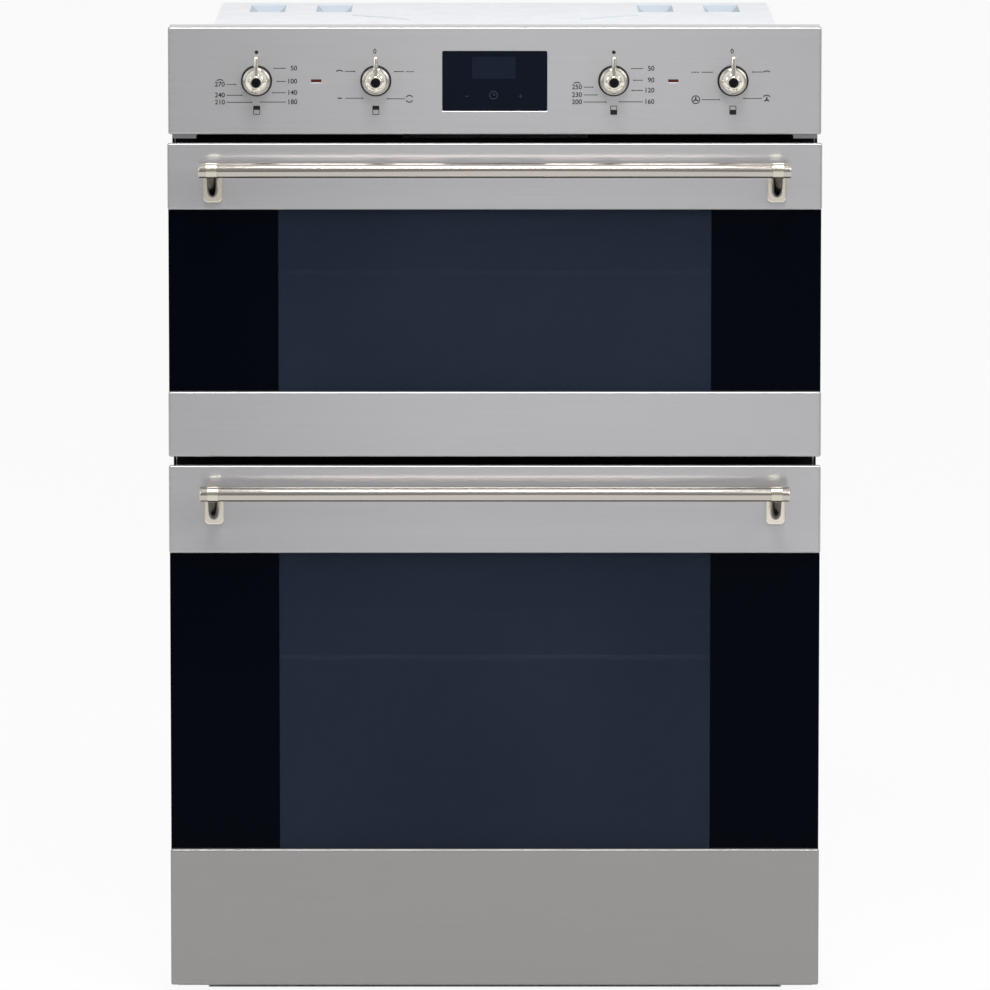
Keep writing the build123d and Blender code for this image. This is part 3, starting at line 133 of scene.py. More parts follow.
def bracket_nickel_painted_light(oven):
    """The plate on a door's brackets, with painted light: a painted highlight makes the foot bright nickel,
    painted shade makes the arm dark, and the collar is satin, a little lighter than the bar.
    """
    material, tree, place = start(f"{oven}_bracket_nickel_with_painted_light")
    foot_thickness = 3.0 * MM
    collar_radius = 7.6 * MM
    seam = 0.05 * MM
    foot_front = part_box(f"{oven}_handle_brackets")[1].y - foot_thickness
    bar_low, bar_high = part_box(f"{oven}_handle_bar")
    axis = (bar_low + bar_high) / 2
    part = add(tree, "ShaderNodeSeparateXYZ", {}, {"Vector": place})
    ahead = add(
        tree, "ShaderNodeMath", {"operation": "LESS_THAN"},
        {0: part.outputs["Y"], 1: foot_front - seam},
    )
    profile = add(tree, "ShaderNodeMapping", {}, {"Vector": place, "Scale": (0, 1, 1)})
    away = add(
        tree, "ShaderNodeVectorMath", {"operation": "DISTANCE"},
        {0: profile.outputs[0], 1: (0, axis.y, axis.z)},
    )
    beyond = add(
        tree, "ShaderNodeMath", {"operation": "GREATER_THAN"},
        {0: away.outputs["Value"], 1: collar_radius},
    )
    # Cloudy patches of the plate, about 5 mm across
    clouds = add(tree, "ShaderNodeTexNoise", {}, {"Vector": place, "Scale": 200.0, "Detail": 3.0})
    # Painted shade and reflection: the arm gets a dark nickel in place of the dark surroundings it mirrors
    dark = add(
        tree, "ShaderNodeMix", {"data_type": "RGBA"},
        {0: clouds.outputs[0], 6: srgb("4E4842"), 7: srgb("5E5750")},
    )
    front = add(
        tree, "ShaderNodeMix", {"data_type": "RGBA"},
        {0: beyond.outputs[0], 6: srgb("D2CDBE"), 7: dark.outputs[2]},
    )
    # Painted highlight: the foot's nickel is much brighter than the bar's
    tone = add(
        tree, "ShaderNodeMix", {"data_type": "RGBA"},
        {0: ahead.outputs[0], 6: srgb("F0E8DA"), 7: front.outputs[2]},
    )
    rough = add(
        tree, "ShaderNodeMapRange", {},
        {"Value": clouds.outputs[0], "To Min": 0.14, "To Max": 0.26},
    )
    shader = add(
        tree, "ShaderNodeBsdfPrincipled", {},
        {"Base Color": tone.outputs[2], "Metallic": 1.0, "Roughness": rough.outputs[0]},
    )
    close(tree, shader)
    return material


def warm_chrome():
    """Polished plate on the turned knobs: bright and warm, with clear dark streaks."""
    material, tree, place = start("polished_warm_chrome")
    # Turning marks about 2 mm apart break the reflections a little
    marks = add(tree, "ShaderNodeTexNoise", {}, {"Vector": place, "Scale": 500.0, "Detail": 2.0})
    rough = add(
        tree, "ShaderNodeMapRange", {},
        {"Value": marks.outputs[0], "To Min": 0.10, "To Max": 0.18},
    )
    shader = add(
        tree, "ShaderNodeBsdfPrincipled", {},
        {"Base Color": srgb("F0EBDF"), "Metallic": 1.0, "Roughness": rough.outputs[0]},
    )
    close(tree, shader)
    return material


def galvanised_sheet():
    """Hot-dip zinc on the casing: pale, in crystal patches that catch the light a little differently, with
    painted shade on its slopes.
    """
    material, tree, place = start("galvanised_sheet")
    # Crystals about 14 mm across
    crystals = add(tree, "ShaderNodeTexVoronoi", {}, {"Vector": place, "Scale": 70.0})
    shade = add(tree, "ShaderNodeSeparateColor", {}, {"Color": crystals.outputs["Color"]})
    zinc = add(
        tree, "ShaderNodeMix", {"data_type": "RGBA"},
        {0: shade.outputs[0], 6: srgb("EDF0F5"), 7: srgb("F5F7FA")},
    )
    # Painted shade: faces that slope, found by their normal, are made cooler and darker
    facing = add(tree, "ShaderNodeNewGeometry", {}, {})
    lean = add(tree, "ShaderNodeSeparateXYZ", {}, {"Vector": facing.outputs["Normal"]})
    slope = add(tree, "ShaderNodeMath", {"operation": "COMPARE"}, {0: lean.outputs["Z"], 1: 0.6, 2: 0.3})
    tone = add(
        tree, "ShaderNodeMix", {"data_type": "RGBA"},
        {0: slope.outputs[0], 6: zinc.outputs[2], 7: srgb("BCC5CF")},
    )
    rough = add(
        tree, "ShaderNodeMapRange", {},
        {"Value": shade.outputs[1], "To Min": 0.38, "To Max": 0.55},
    )
    shader = add(
        tree, "ShaderNodeBsdfPrincipled", {},
        {
            "Base Color": tone.outputs[2], "Metallic": 0.15, "Roughness": rough.outputs[0],
            "Specular IOR Level": 0.2,
        },
    )
    close(tree, shader)
    return material


def plain_metal(name, dark, light, spacing, smooth, rough):
    """A metal whose tone and gloss wander over patches of a given size in millimetres."""
    material, tree, place = start(name)
    patches = add(
        tree, "ShaderNodeTexNoise", {},
        {"Vector": place, "Scale": 1000.0 / spacing, "Detail": 3.0},
    )
    tone = add(
        tree, "ShaderNodeMix", {"data_type": "RGBA"},
        {0: patches.outputs[0], 6: srgb(dark), 7: srgb(light)},
    )
    gloss = add(
        tree, "ShaderNodeMapRange", {},
        {"Value": patches.outputs[0], "To Min": smooth, "To Max": rough},
    )
    shader = add(
        tree, "ShaderNodeBsdfPrincipled", {},
        {"Base Color": tone.outputs[2], "Metallic": 1.0, "Roughness": gloss.outputs[0]},
    )
    close(tree, shader)
    return material


# Coatings, plastics and soft stuff

def coated(name, dark, light, spacing, smooth, rough, bump=0.0, shine=0.3):
    """Paint, enamel, plastic, rubber or wool: patches of a given size in millimetres, and a fine relief."""
    material, tree, place = start(name)
    patches = add(
        tree, "ShaderNodeTexNoise", {},
        {"Vector": place, "Scale": 1000.0 / spacing, "Detail": 4.0},
    )
    tone = add(
        tree, "ShaderNodeMix", {"data_type": "RGBA"},
        {0: patches.outputs[0], 6: srgb(dark), 7: srgb(light)},
    )
    gloss = add(
        tree, "ShaderNodeMapRange", {},
        {"Value": patches.outputs[0], "To Min": smooth, "To Max": rough},
    )
    relief = add(
        tree, "ShaderNodeBump", {},
        {"Strength": bump, "Distance": 0.3 * MM, "Height": patches.outputs[0]},
    )
    shader = add(
        tree, "ShaderNodeBsdfPrincipled", {},
        {
            "Base Color": tone.outputs[2], "Roughness": gloss.outputs[0],
            "Normal": relief.outputs[0], "Specular IOR Level": shine,
        },
    )
    close(tree, shader)
    return material


def speckled_enamel():
    """Vitreous enamel fired on the oven walls: glossy blue-black with fine pale specks."""
    material, tree, place = start("vitreous_enamel")
    # Specks about 0.7 mm across, some 4 mm apart
    specks = add(tree, "ShaderNodeTexVoronoi", {}, {"Vector": place, "Scale": 260.0})
    speck = add(
        tree, "ShaderNodeMapRange", {},
        {
            "Value": specks.outputs["Distance"],
            "From Min": 0.06, "From Max": 0.12, "To Min": 1.0, "To Max": 0.0,
        },
    )
    tone = add(
        tree, "ShaderNodeMix", {"data_type": "RGBA"},
        {0: speck.outputs[0], 6: srgb("1B1F27"), 7: srgb("8D939C")},
    )
    wave = add(tree, "ShaderNodeTexNoise", {}, {"Vector": place, "Scale": 60.0, "Detail": 2.0})
    relief = add(
        tree, "ShaderNodeBump", {},
        {"Strength": 0.15, "Distance": 0.5 * MM, "Height": wave.outputs[0]},
    )
    shader = add(
        tree, "ShaderNodeBsdfPrincipled", {},
        {"Base Color": tone.outputs[2], "Roughness": 0.22, "Normal": relief.outputs[0]},
    )
    close(tree, shader)
    return material


# Glass

def door_pane():
    """Toughened float glass with black ceramic print down both sides and a smoked window between."""
    material, tree, place = start("printed_door_glass")
    window_half = 197.7 * MM
    across = add(tree, "ShaderNodeSeparateXYZ", {}, {"Vector": place})
    width = add(tree, "ShaderNodeMath", {"operation": "ABSOLUTE"}, {0: across.outputs["X"]})
    printed = add(
        tree, "ShaderNodeMath", {"operation": "GREATER_THAN"},
        {0: width.outputs[0], 1: window_half},
    )
    # Slow waves of the glass, about 200 mm long, in its depth of colour
    waves = add(tree, "ShaderNodeTexNoise", {}, {"Vector": place, "Scale": 5.0, "Detail": 1.0})
    smoke = add(
        tree, "ShaderNodeMix", {"data_type": "RGBA"},
        {0: waves.outputs[0], 6: srgb("202836"), 7: srgb("2A3241")},
    )
    tone = add(
        tree, "ShaderNodeMix", {"data_type": "RGBA"},
        {0: printed.outputs[0], 6: smoke.outputs[2], 7: srgb("02040B")},
    )
    cover = add(
        tree, "ShaderNodeMapRange", {},
        {"Value": printed.outputs[0], "To Min": 0.62, "To Max": 1.0},
    )
    shader = add(
        tree, "ShaderNodeBsdfPrincipled", {},
        {
            "Base Color": tone.outputs[2], "Roughness": 0.04, "Alpha": cover.outputs[0],
            "Specular IOR Level": 0.02,
        },
    )
    close(tree, shader)
    return material


def clear_glass(name, tint, cover, rough):
    """A clear pane: mostly see-through, with a faint tint and a film of dust a few centimetres across."""
    material, tree, place = start(name)
    film = add(tree, "ShaderNodeTexNoise", {}, {"Vector": place, "Scale": 30.0, "Detail": 3.0})
    alpha = add(
        tree, "ShaderNodeMapRange", {},
        {"Value": film.outputs[0], "To Min": cover * 0.8, "To Max": cover * 1.2},
    )
    shader = add(
        tree, "ShaderNodeBsdfPrincipled", {},
        {
            "Base Color": srgb(tint), "Roughness": rough, "Alpha": alpha.outputs[0],
            "Specular IOR Level": 0.2,
        },
    )
    close(tree, shader)
    return material


def dark_glass(name, dark, light):
    """Black-backed display glass: deep and glossy, a little uneven in tone."""
    material, tree, place = start(name)
    haze = add(tree, "ShaderNodeTexNoise", {}, {"Vector": place, "Scale": 40.0, "Detail": 2.0})
    tone = add(
        tree, "ShaderNodeMix", {"data_type": "RGBA"},
        {0: haze.outputs[0], 6: srgb(dark), 7: srgb(light)},
    )
    shader = add(
        tree, "ShaderNodeBsdfPrincipled", {},
        {"Base Color": tone.outputs[2], "Roughness": 0.08, "Specular IOR Level": 0.04},
    )
    close(tree, shader)
    return material


STEEL = brushed_steel("brushed_stainless_steel", "A7A6A8", "AFAEB0")
# The same stainless steel made darker, as painted shade, for the lowest trim
SHADED_STEEL = brushed_steel("brushed_stainless_steel_painted_shade", "898887", "918F8E")
NICKEL = satin_nickel()
# Each door's brackets: nickel with a painted highlight on the foot and painted shade on the arm
UPPER_BRACKET = bracket_nickel_painted_light("upper")
LOWER_BRACKET = bracket_nickel_painted_light("lower")
CHROME = warm_chrome()
GALVANISED = galvanised_sheet()
ENAMEL = speckled_enamel()
PANE = door_pane()
WIRE = plain_metal("chromed_wire", "C4C5C8", "D8D9DC", 6.0, 0.12, 0.22)
ELEMENT = plain_metal("heat_tinted_steel", "3A3531", "5A4F46", 12.0, 0.40, 0.55)
ZINC = plain_metal("zinc_plated_steel", "9C9C98", "B9B9B4", 8.0, 0.30, 0.45)
# A near-white metal for painted highlights on folded edges
EDGE_PAINTED_HIGHLIGHT = plain_metal("steel_edge_painted_highlight", "F2F2F4", "FAFAFC", 10.0, 0.20, 0.30)
GREY_STEEL = plain_metal("grey_folded_steel", "85878B", "989A9E", 10.0, 0.30, 0.40)
BLACK_PAINT = coated("black_powder_coat", "050507", "09090B", 2.0, 0.45, 0.60, 0.15, 0.1)
BLACK_PLASTIC = coated("black_moulded_nylon", "0F1013", "191A1E", 1.5, 0.40, 0.55, 0.10)
POLISHED_PLASTIC = coated("polished_black_nylon", "050509", "08080D", 3.0, 0.10, 0.16, 0.0, 0.12)
GREY_PLASTIC = coated("grey_moulded_nylon", "3A3B3E", "4A4B4F", 2.0, 0.45, 0.60, 0.10)
RED_LENS = coated("red_acrylic", "3E1A10", "4A2216", 3.0, 0.15, 0.25)
SEAL = coated("glass_fibre_braid", "4A4A4C", "77777A", 1.2, 0.80, 0.95, 0.6)
WOOL = coated("mineral_wool", "A99B72", "D2C79E", 5.0, 0.90, 1.00, 1.0)
INK = coated("screen_print_ink", "0D0D10", "151518", 2.0, 0.50, 0.60)
PALE_INK = coated("pale_screen_print_ink", "222934", "2A323E", 2.0, 0.50, 0.60)
DISPLAY = dark_glass("black_display_glass", "080D18", "0C121E")
LCD = dark_glass("liquid_crystal_cell", "111825", "151D2A")
INNER_PANE = clear_glass("clear_inner_glass", "2A3038", 0.20, 0.04)
LAMP_GLASS = clear_glass("lamp_glass", "C9CBC4", 0.45, 0.15)

FINISHES = (
    (GALVANISED, (
        "base_tray", "side_panel_left", "side_panel_right", "rear_panel", "top_cover", "switch_carrier",
        "blower_housing",
    )),
    (BLACK_PAINT, ("front_frame", "upper_door_liner", "lower_door_liner")),
    (ZINC, (
        "casing_screws", "fan_motor", "hinge_arms", "blower_motor", "blower_wheel", "upper_door_hinges",
        "lower_door_hinges",
    )),
    (GREY_STEEL, ("fascia_brackets",)),
    (BLACK_PLASTIC, ("terminal_box", "knob_bezels")),
    (POLISHED_PLASTIC, (
        "upper_thermostat_spindle", "upper_selector_spindle", "lower_thermostat_spindle",
        "lower_selector_spindle",
    )),
    (GREY_PLASTIC, ("display_module", "thermostats", "selector_switches")),
    (ENAMEL, ("upper_cavity", "lower_cavity", "fan_cover")),
    (ELEMENT, (
        "upper_grill_element", "lower_grill_element", "base_elements", "fan_ring_element", "fan_impeller",
    )),
    (WIRE, ("upper_shelf", "lower_shelf", "rack_guides")),
    (SEAL, ("door_seals",)),
    (WOOL, ("insulation",)),
    (LAMP_GLASS, ("oven_lamps",)),
    (STEEL, ("control_panel", "upper_top_trim", "upper_bottom_trim", "lower_top_trim")),
    # The lowest trim: the same steel in painted shade
    (SHADED_STEEL, ("lower_bottom_trim",)),
    (DISPLAY, ("display_glass",)),
    (RED_LENS, ("indicator_lenses",)),
    (PANE, ("upper_door_glass", "lower_door_glass")),
    (INNER_PANE, ("upper_inner_glass", "lower_inner_glass")),
    (NICKEL, ("upper_handle_bar", "lower_handle_bar")),
    (UPPER_BRACKET, ("upper_handle_brackets",)),
    (LOWER_BRACKET, ("lower_handle_brackets",)),
    (CHROME, (
        "upper_thermostat_knob", "upper_selector_knob", "lower_thermostat_knob", "lower_selector_knob",
    )),
)
for finish, nodes in FINISHES:
    for node in nodes:
        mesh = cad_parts[node].data
        mesh.materials.clear()
        mesh.materials.append(finish)


# Pieces
SHARP_ANGLE = math.radians(35)


def make_piece(name, shape, finish, body, stands_for=()):
    """A worked shape becomes a named piece that moves with one body of the oven."""
    mesh = bpy.data.meshes.new(name)
    shape.to_mesh(mesh)
    shape.free()
    mesh.shade_smooth()
    mesh.set_sharp_from_angle(angle=SHARP_ANGLE)
    mesh.materials.append(finish)
    made = bpy.data.objects.new(name, mesh)
    bpy.context.scene.collection.objects.link(made)
    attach(made, body)
    if stands_for:
        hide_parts(*stands_for)


def take_in(shape, other):
    """Put a second shape into the first."""
    mesh = bpy.data.meshes.new("taken_in")
    other.to_mesh(mesh)
    other.free()
    shape.from_mesh(mesh)
    bpy.data.meshes.remove(mesh)


def spun(outline, steps):
    """An outline of radius and height, spun about Z and closed."""
    shape = bmesh.new()
    points = [shape.verts.new((radius, 0, height)) for radius, height in outline]
    lines = [shape.edges.new(pair) for pair in zip(points, points[1:])]
    bmesh.ops.spin(
        shape, geom=points + lines, cent=(0, 0, 0), axis=(0, 0, 1), angle=math.tau, steps=steps,
        use_merge=True,
    )
    bmesh.ops.remove_doubles(shape, verts=shape.verts, dist=SAME_PLACE)
    bmesh.ops.recalc_face_normals(shape, faces=shape.faces)
    return shape


def round_off(shape, edges, width, segments):
    """Round the given edges."""
    bmesh.ops.bevel(
        shape, geom=edges, offset=width, segments=segments, affect="EDGES", profile=0.5, material=-1
    )


def soften(shape, width, segments, sharper_than=30):
    """Round all edges where two faces meet at more than an angle in degrees."""
    sharp = math.radians(sharper_than)
    round_off(
        shape, [edge for edge in shape.edges if edge.is_manifold and edge.calc_face_angle() > sharp],
        width, segments,
    )


fascia_low, fascia_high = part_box("control_panel")
FASCIA_Y = fascia_low.y
FASCIA_Z = (fascia_low.z + fascia_high.z) / 2

# Knobs: a turned bell, a slim collar and a lever that points up
KNOBS = ("upper_thermostat", "upper_selector", "lower_thermostat", "lower_selector")
DOME_R = 12.95 * MM
DOME_CENTRE = (-0.25 * MM, 4.3 * MM)
DOME_TURN = math.radians(62.7)
DOME_STEPS = 12
TURNED_SIDES = 96
LEVER_STANDOFF = 18.5 * MM


def knob_x(name):
    """A knob's place from left to right."""
    low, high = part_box(f"{name}_knob")
    return (low.x + high.x) / 2


def knob_bell():
    """The bell and its collar, with the axle along Z."""
    turns = [DOME_TURN * step / DOME_STEPS for step in range(DOME_STEPS + 1)]
    arc = [
        (DOME_CENTRE[0] + DOME_R * math.cos(turn), DOME_CENTRE[1] + DOME_R * math.sin(turn))
        for turn in turns
    ]
    back = 1.8 * MM
    bore = 4.0 * MM
    tip = 24.5 * MM
    collar = arc[-1][0]
    outline = [(bore, back), (arc[0][0], back), *arc, (collar, tip), (bore, tip), (bore, back)]
    bell = spun(outline, TURNED_SIDES)
    soften(bell, 0.4 * MM, 3, 40)
    return bell


def knob_lever():
    """A slim round-ended rod that stands on the collar, a little thinner at its root."""
    radius = 2.2 * MM
    slimmer = radius * 0.95
    root = 4.6 * MM
    reach = 23.8 * MM
    lever = bmesh.new()
    bmesh.ops.create_cone(
        lever, cap_ends=True, segments=32, radius1=slimmer, radius2=radius, depth=reach - root
    )
    tip = [edge for edge in lever.edges if all(point.co.z > 0 for point in edge.verts)]
    round_off(lever, tip, slimmer, 6)
    bmesh.ops.translate(lever, verts=lever.verts, vec=(0, 0, (root + reach) / 2))
    return lever


def add_knobs():
    """The four knobs, each on its own dial."""
    for name in KNOBS:
        knob = knob_bell()
        bmesh.ops.rotate(knob, verts=knob.verts, cent=(0, 0, 0), matrix=Matrix.Rotation(math.pi / 2, 3, "X"))
        lever = knob_lever()
        bmesh.ops.translate(lever, verts=lever.verts, vec=(0, -LEVER_STANDOFF, 0))
        take_in(knob, lever)
        bmesh.ops.translate(knob, verts=knob.verts, vec=(knob_x(name), FASCIA_Y, FASCIA_Z))
        make_piece(f"{name}_turned_knob", knob, CHROME, f"{name}_dial", [f"{name}_knob"])


def add_handle_bars():
    """Each door's round bar, with softly rounded ends."""
    for oven in ("upper", "lower"):
        low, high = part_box(f"{oven}_handle_bar")
        radius = (high.z - low.z) / 2
        bar = bmesh.new()
        bmesh.ops.create_cone(
            bar, cap_ends=True, segments=TURNED_SIDES, radius1=radius, radius2=radius, depth=high.x - low.x
        )
        soften(bar, 1.5 * MM, 4)
        bmesh.ops.rotate(bar, verts=bar.verts, cent=(0, 0, 0), matrix=Matrix.Rotation(math.pi / 2, 3, "Y"))
        bmesh.ops.translate(bar, verts=bar.verts, vec=(low + high) / 2)
        make_piece(f"{oven}_round_bar", bar, NICKEL, f"{oven}_door", [f"{oven}_handle_bar"])


# Printing on the fascia and the display: ink that stands 0.06 mm proud
INK_PROUD = 0.06 * MM
INK_SUNK = 0.02 * MM
# A digit's share of the letter size, and how far the ink spreads beyond its outline
DIGIT_SHARE = 0.7
DIGIT_SWELL = 0.10 * MM


def printed_line(shape, y, begin, end, width):
    """A straight line between two places in X and Z, in millimetres."""
    run = Vector((end[0] - begin[0], 0, end[1] - begin[1])) * MM
    middle = Vector((begin[0] + end[0], 0, begin[1] + end[1])) * MM / 2
    middle.y = y - (INK_PROUD - INK_SUNK) / 2
    turn = Matrix.Rotation(-math.atan2(run.z, run.x), 4, "Y")
    size = Matrix.Diagonal((run.length, INK_PROUD + INK_SUNK, width * MM, 1))
    bmesh.ops.create_cube(shape, size=1.0, matrix=Matrix.Translation(middle) @ turn @ size)


def printed_arc(shape, y, centre, radius, width, first, last):
    """A part of a ring about a place in X and Z, in millimetres, from one angle to another."""
    middle = Vector((centre[0] * MM, y, centre[1] * MM))
    corners = [
        shape.verts.new(middle + Vector(((radius + side * width / 2) * MM, depth, 0)))
        for side, depth in ((-1, INK_SUNK), (1, INK_SUNK), (1, -INK_PROUD), (-1, -INK_PROUD))
    ]
    end = shape.faces.new(corners)
    turn = Matrix.Rotation(-math.radians(first), 3, "Y")
    bmesh.ops.rotate(shape, verts=corners, cent=middle, matrix=turn)
    steps = max(6, int((last - first) / 10))
    arc = bmesh.ops.spin(
        shape, geom=[end], cent=middle, axis=(0, -1, 0), angle=math.radians(last - first), steps=steps
    )
    if last - first == 360:
        faces = [end] + [part for part in arc["geom_last"] if isinstance(part, bmesh.types.BMFace)]
        bmesh.ops.delete(shape, geom=faces, context="FACES_ONLY")
        bmesh.ops.remove_doubles(shape, verts=shape.verts, dist=SAME_PLACE)


def printed_dot(shape, y, centre, radius):
    """A full dot about a place in X and Z, in millimetres."""
    printed_arc(shape, y, centre, radius / 2, radius, 0, 360)


def rolled_lip(shape, left, right, top, height):
    """The rolled lower lip of a fascia opening, in millimetres: a slope that faces the light above."""
    outline = ((INK_SUNK, top), (0, top), (-height / 2 * MM, top - height), (INK_SUNK, top - height))
    corners = [shape.verts.new((left * MM, FASCIA_Y + depth, level * MM)) for depth, level in outline]
    run = bmesh.ops.extrude_face_region(shape, geom=[shape.faces.new(corners)])
    far_corners = [part for part in run["geom"] if isinstance(part, bmesh.types.BMVert)]
    bmesh.ops.translate(shape, verts=far_corners, vec=((right - left) * MM, 0, 0))
    bmesh.ops.recalc_face_normals(shape, faces=shape.faces)


def printed_number(shape, y, words, right, level, height):
    """A number that ends at a place in X and stands about a level in Z, in millimetres."""
    curve = bpy.data.curves.new("number", "FONT")
    curve.body = words
    curve.size = height * MM / DIGIT_SHARE
    curve.align_x = "RIGHT"
    curve.align_y = "CENTER"
    curve.extrude = (INK_PROUD + INK_SUNK) / 2
    curve.offset = DIGIT_SWELL
    written = bpy.data.objects.new("number", curve)
    bpy.context.scene.collection.objects.link(written)
    bpy.context.view_layer.update()
    mesh = bpy.data.meshes.new_from_object(written.evaluated_get(bpy.context.evaluated_depsgraph_get()))
    bpy.data.objects.remove(written)
    bpy.data.curves.remove(curve)
    place = Matrix.Translation((right * MM, y - (INK_PROUD - INK_SUNK) / 2, level * MM))
    mesh.transform(place @ Matrix.Rotation(math.pi / 2, 4, "X"))
    shape.from_mesh(mesh)
    bpy.data.meshes.remove(mesh)


# Each temperature has its level from the knob's axis and the end of its leader, in millimetres
TEMPERATURES = {
    "upper_thermostat": (
        (("50", 11.4, 16.2), ("100", -0.6, 19.1), ("140", -10.9, 14.7), ("180", -19.4, 3.8)),
        (("270", -3.3, -19.1), ("240", -13.2, -13.6), ("210", -19.6, -4.6)),
    ),
    "lower_thermostat": (
        (("50", 11.1, 16.3), ("90", 0.5, 18.3), ("120", -8.8, 16.8), ("160", -19.2, 5.4)),
        (("250", -5.8, -19.2), ("230", -12.9, -15.4), ("200", -19.4, -7.1)),
    ),
}
DIGIT_HEIGHT = 4.3
LEADER_WIDTH = 0.62
LEADER_DOT_R = 0.6
SYMBOL_WIDTH = 0.9

# Where a column's numbers end and its leaders begin, from the knob's axis, in millimetres
RIGHT_NUMBERS, RIGHT_LEADERS = 37.0, 26.6
LEFT_NUMBERS, LEFT_LEADERS = -28.9, -27.4
OFF_DOT_LEVEL, OFF_DOT_R = 26.0, 1.7
NOUGHT_END, NOUGHT_LEVEL = 0.7, 26.7
OVEN_SIGN_LEVEL = -26.9


def add_leader(shape, level, outer, inner):
    """A level line from a number or sign towards the knob, with a dot at its inner end."""
    printed_line(shape, FASCIA_Y, (outer, level), (inner, level), LEADER_WIDTH)
    printed_dot(shape, FASCIA_Y, (inner, level), LEADER_DOT_R)


def add_thermostat_print(shape, name, x, z):
    """A dot, two columns of temperatures with their leaders, and the grill's arc over the hottest."""
    right_column, left_column = TEMPERATURES[name]
    printed_dot(shape, FASCIA_Y, (x, z + OFF_DOT_LEVEL), OFF_DOT_R)
    for words, level, leader in right_column:
        printed_number(shape, FASCIA_Y, words, x + RIGHT_NUMBERS, z + level, DIGIT_HEIGHT)
        add_leader(shape, z + level, x + RIGHT_LEADERS, x + leader)
    for words, level, leader in left_column:
        printed_number(shape, FASCIA_Y, words, x + LEFT_NUMBERS, z + level, DIGIT_HEIGHT)
        add_leader(shape, z + level, x + LEFT_LEADERS, x + leader)
    arc_level = z + left_column[0][1] - 0.2
    printed_arc(shape, FASCIA_Y, (x - 33.4, arc_level), 4.6, SYMBOL_WIDTH, 52, 128)


def grill_sign(shape, x, z):
    """Heat from above: a flat arc."""
    printed_arc(shape, FASCIA_Y, (x, z - 3.4), 4.4, SYMBOL_WIDTH, 48, 132)


def base_sign(shape, x, z):
    """Heat from below: a bar."""
    printed_line(shape, FASCIA_Y, (x - 1.9, z), (x + 1.9, z), 1.1)


def both_sign(shape, x, z):
    """Heat from above and below: two arcs."""
    printed_arc(shape, FASCIA_Y, (x, z), 3.1, SYMBOL_WIDTH, 25, 155)
    printed_arc(shape, FASCIA_Y, (x, z), 3.1, SYMBOL_WIDTH, 205, 335)


def low_sign(shape, x, z):
    """Gentle heat: three short bars."""
    for step in (-1, 0, 1):
        printed_line(shape, FASCIA_Y, (x + 2.4 * step - 0.8, z), (x + 2.4 * step + 0.8, z), 0.9)


def fan_sign(shape, x, z):
    """A fan in a ring."""
    printed_arc(shape, FASCIA_Y, (x, z), 3.5, SYMBOL_WIDTH, 0, 360)
    three_blades(shape, x, z, 2.6)


def fan_grill_sign(shape, x, z):
    """A fan below the grill's arc."""
    printed_arc(shape, FASCIA_Y, (x, z - 0.6), 3.6, SYMBOL_WIDTH, 35, 145)
    three_blades(shape, x, z - 1.2, 2.4)


def three_blades(shape, x, z, reach):
    """Three blades about a hub."""
    for turn in (90, 210, 330):
        angle = math.radians(turn)
        end = (x + reach * math.cos(angle), z + reach * math.sin(angle))
        printed_line(shape, FASCIA_Y, (x, z), end, 1.2)


# Each sign has its place from the knob's axis, then the two ends of its leader, in millimetres
SIGNS = {
    "upper_selector": (
        (grill_sign, -33.0, 8.6, -28.1, -19.3), (low_sign, 31.3, 8.4, 25.6, 17.3),
        (base_sign, -32.8, -15.9, -27.7, -12.0), (both_sign, 30.6, -16.4, 26.7, 10.6),
    ),
    "lower_selector": (
        (low_sign, -34.3, 7.8, -28.5, -19.1), (grill_sign, 30.6, 8.0, 26.9, 17.7),
        (fan_sign, -33.8, -17.2, -28.2, -12.3), (fan_grill_sign, 30.8, -16.1, 26.5, 10.1),
    ),
}


def add_selector_print(shape, name, x, z):
    """A nought, and a sign with its leader at each corner."""
    printed_number(shape, FASCIA_Y, "0", x + NOUGHT_END, z + NOUGHT_LEVEL, DIGIT_HEIGHT)
    for sign, sign_x, level, outer, inner in SIGNS[name]:
        sign(shape, x + sign_x, z + level)
        add_leader(shape, z + level, x + outer, x + inner)


def add_oven_sign(shape, x, z, filled_top):
    """The small upright box that tells which oven a knob serves: its own half is filled."""
    half_width, half_height, line_width = 2.8, 3.8, 0.6
    left, right, low, high = x - half_width, x + half_width, z - half_height, z + half_height
    corners = [(left, low), (right, low), (right, high), (left, high)]
    for first, second in zip(corners, corners[1:] + corners[:1]):
        printed_line(shape, FASCIA_Y, first, second, line_width)
    rise, filled_height = (2.1, 3.4) if filled_top else (-1.7, 4.2)
    printed_line(shape, FASCIA_Y, (left, z + rise), (right, z + rise), filled_height)


def add_fascia_print():
    """All the dark printing round the four knobs, as one thin piece."""
    ink = bmesh.new()
    z = FASCIA_Z / MM
    for name in KNOBS:
        x = knob_x(name) / MM
        if name in TEMPERATURES:
            add_thermostat_print(ink, name, x, z)
        else:
            add_selector_print(ink, name, x, z)
        add_oven_sign(ink, x, z + OVEN_SIGN_LEVEL, name.startswith("upper"))
    bmesh.ops.recalc_face_normals(ink, faces=ink.faces)
    make_piece("fascia_printing", ink, INK, "chassis")


# Display and lamp openings, in millimetres
TOUCH_WIDTH = 0.6
HAND_WIDTH = 0.5
DISPLAY_LIP_DROP, DISPLAY_LIP_HEIGHT = 0.3, 0.8
LAMP_SLIT_HALF = 4.6
LAMP_LIP_DROP, LAMP_LIP_HEIGHT = 1.5, 0.45


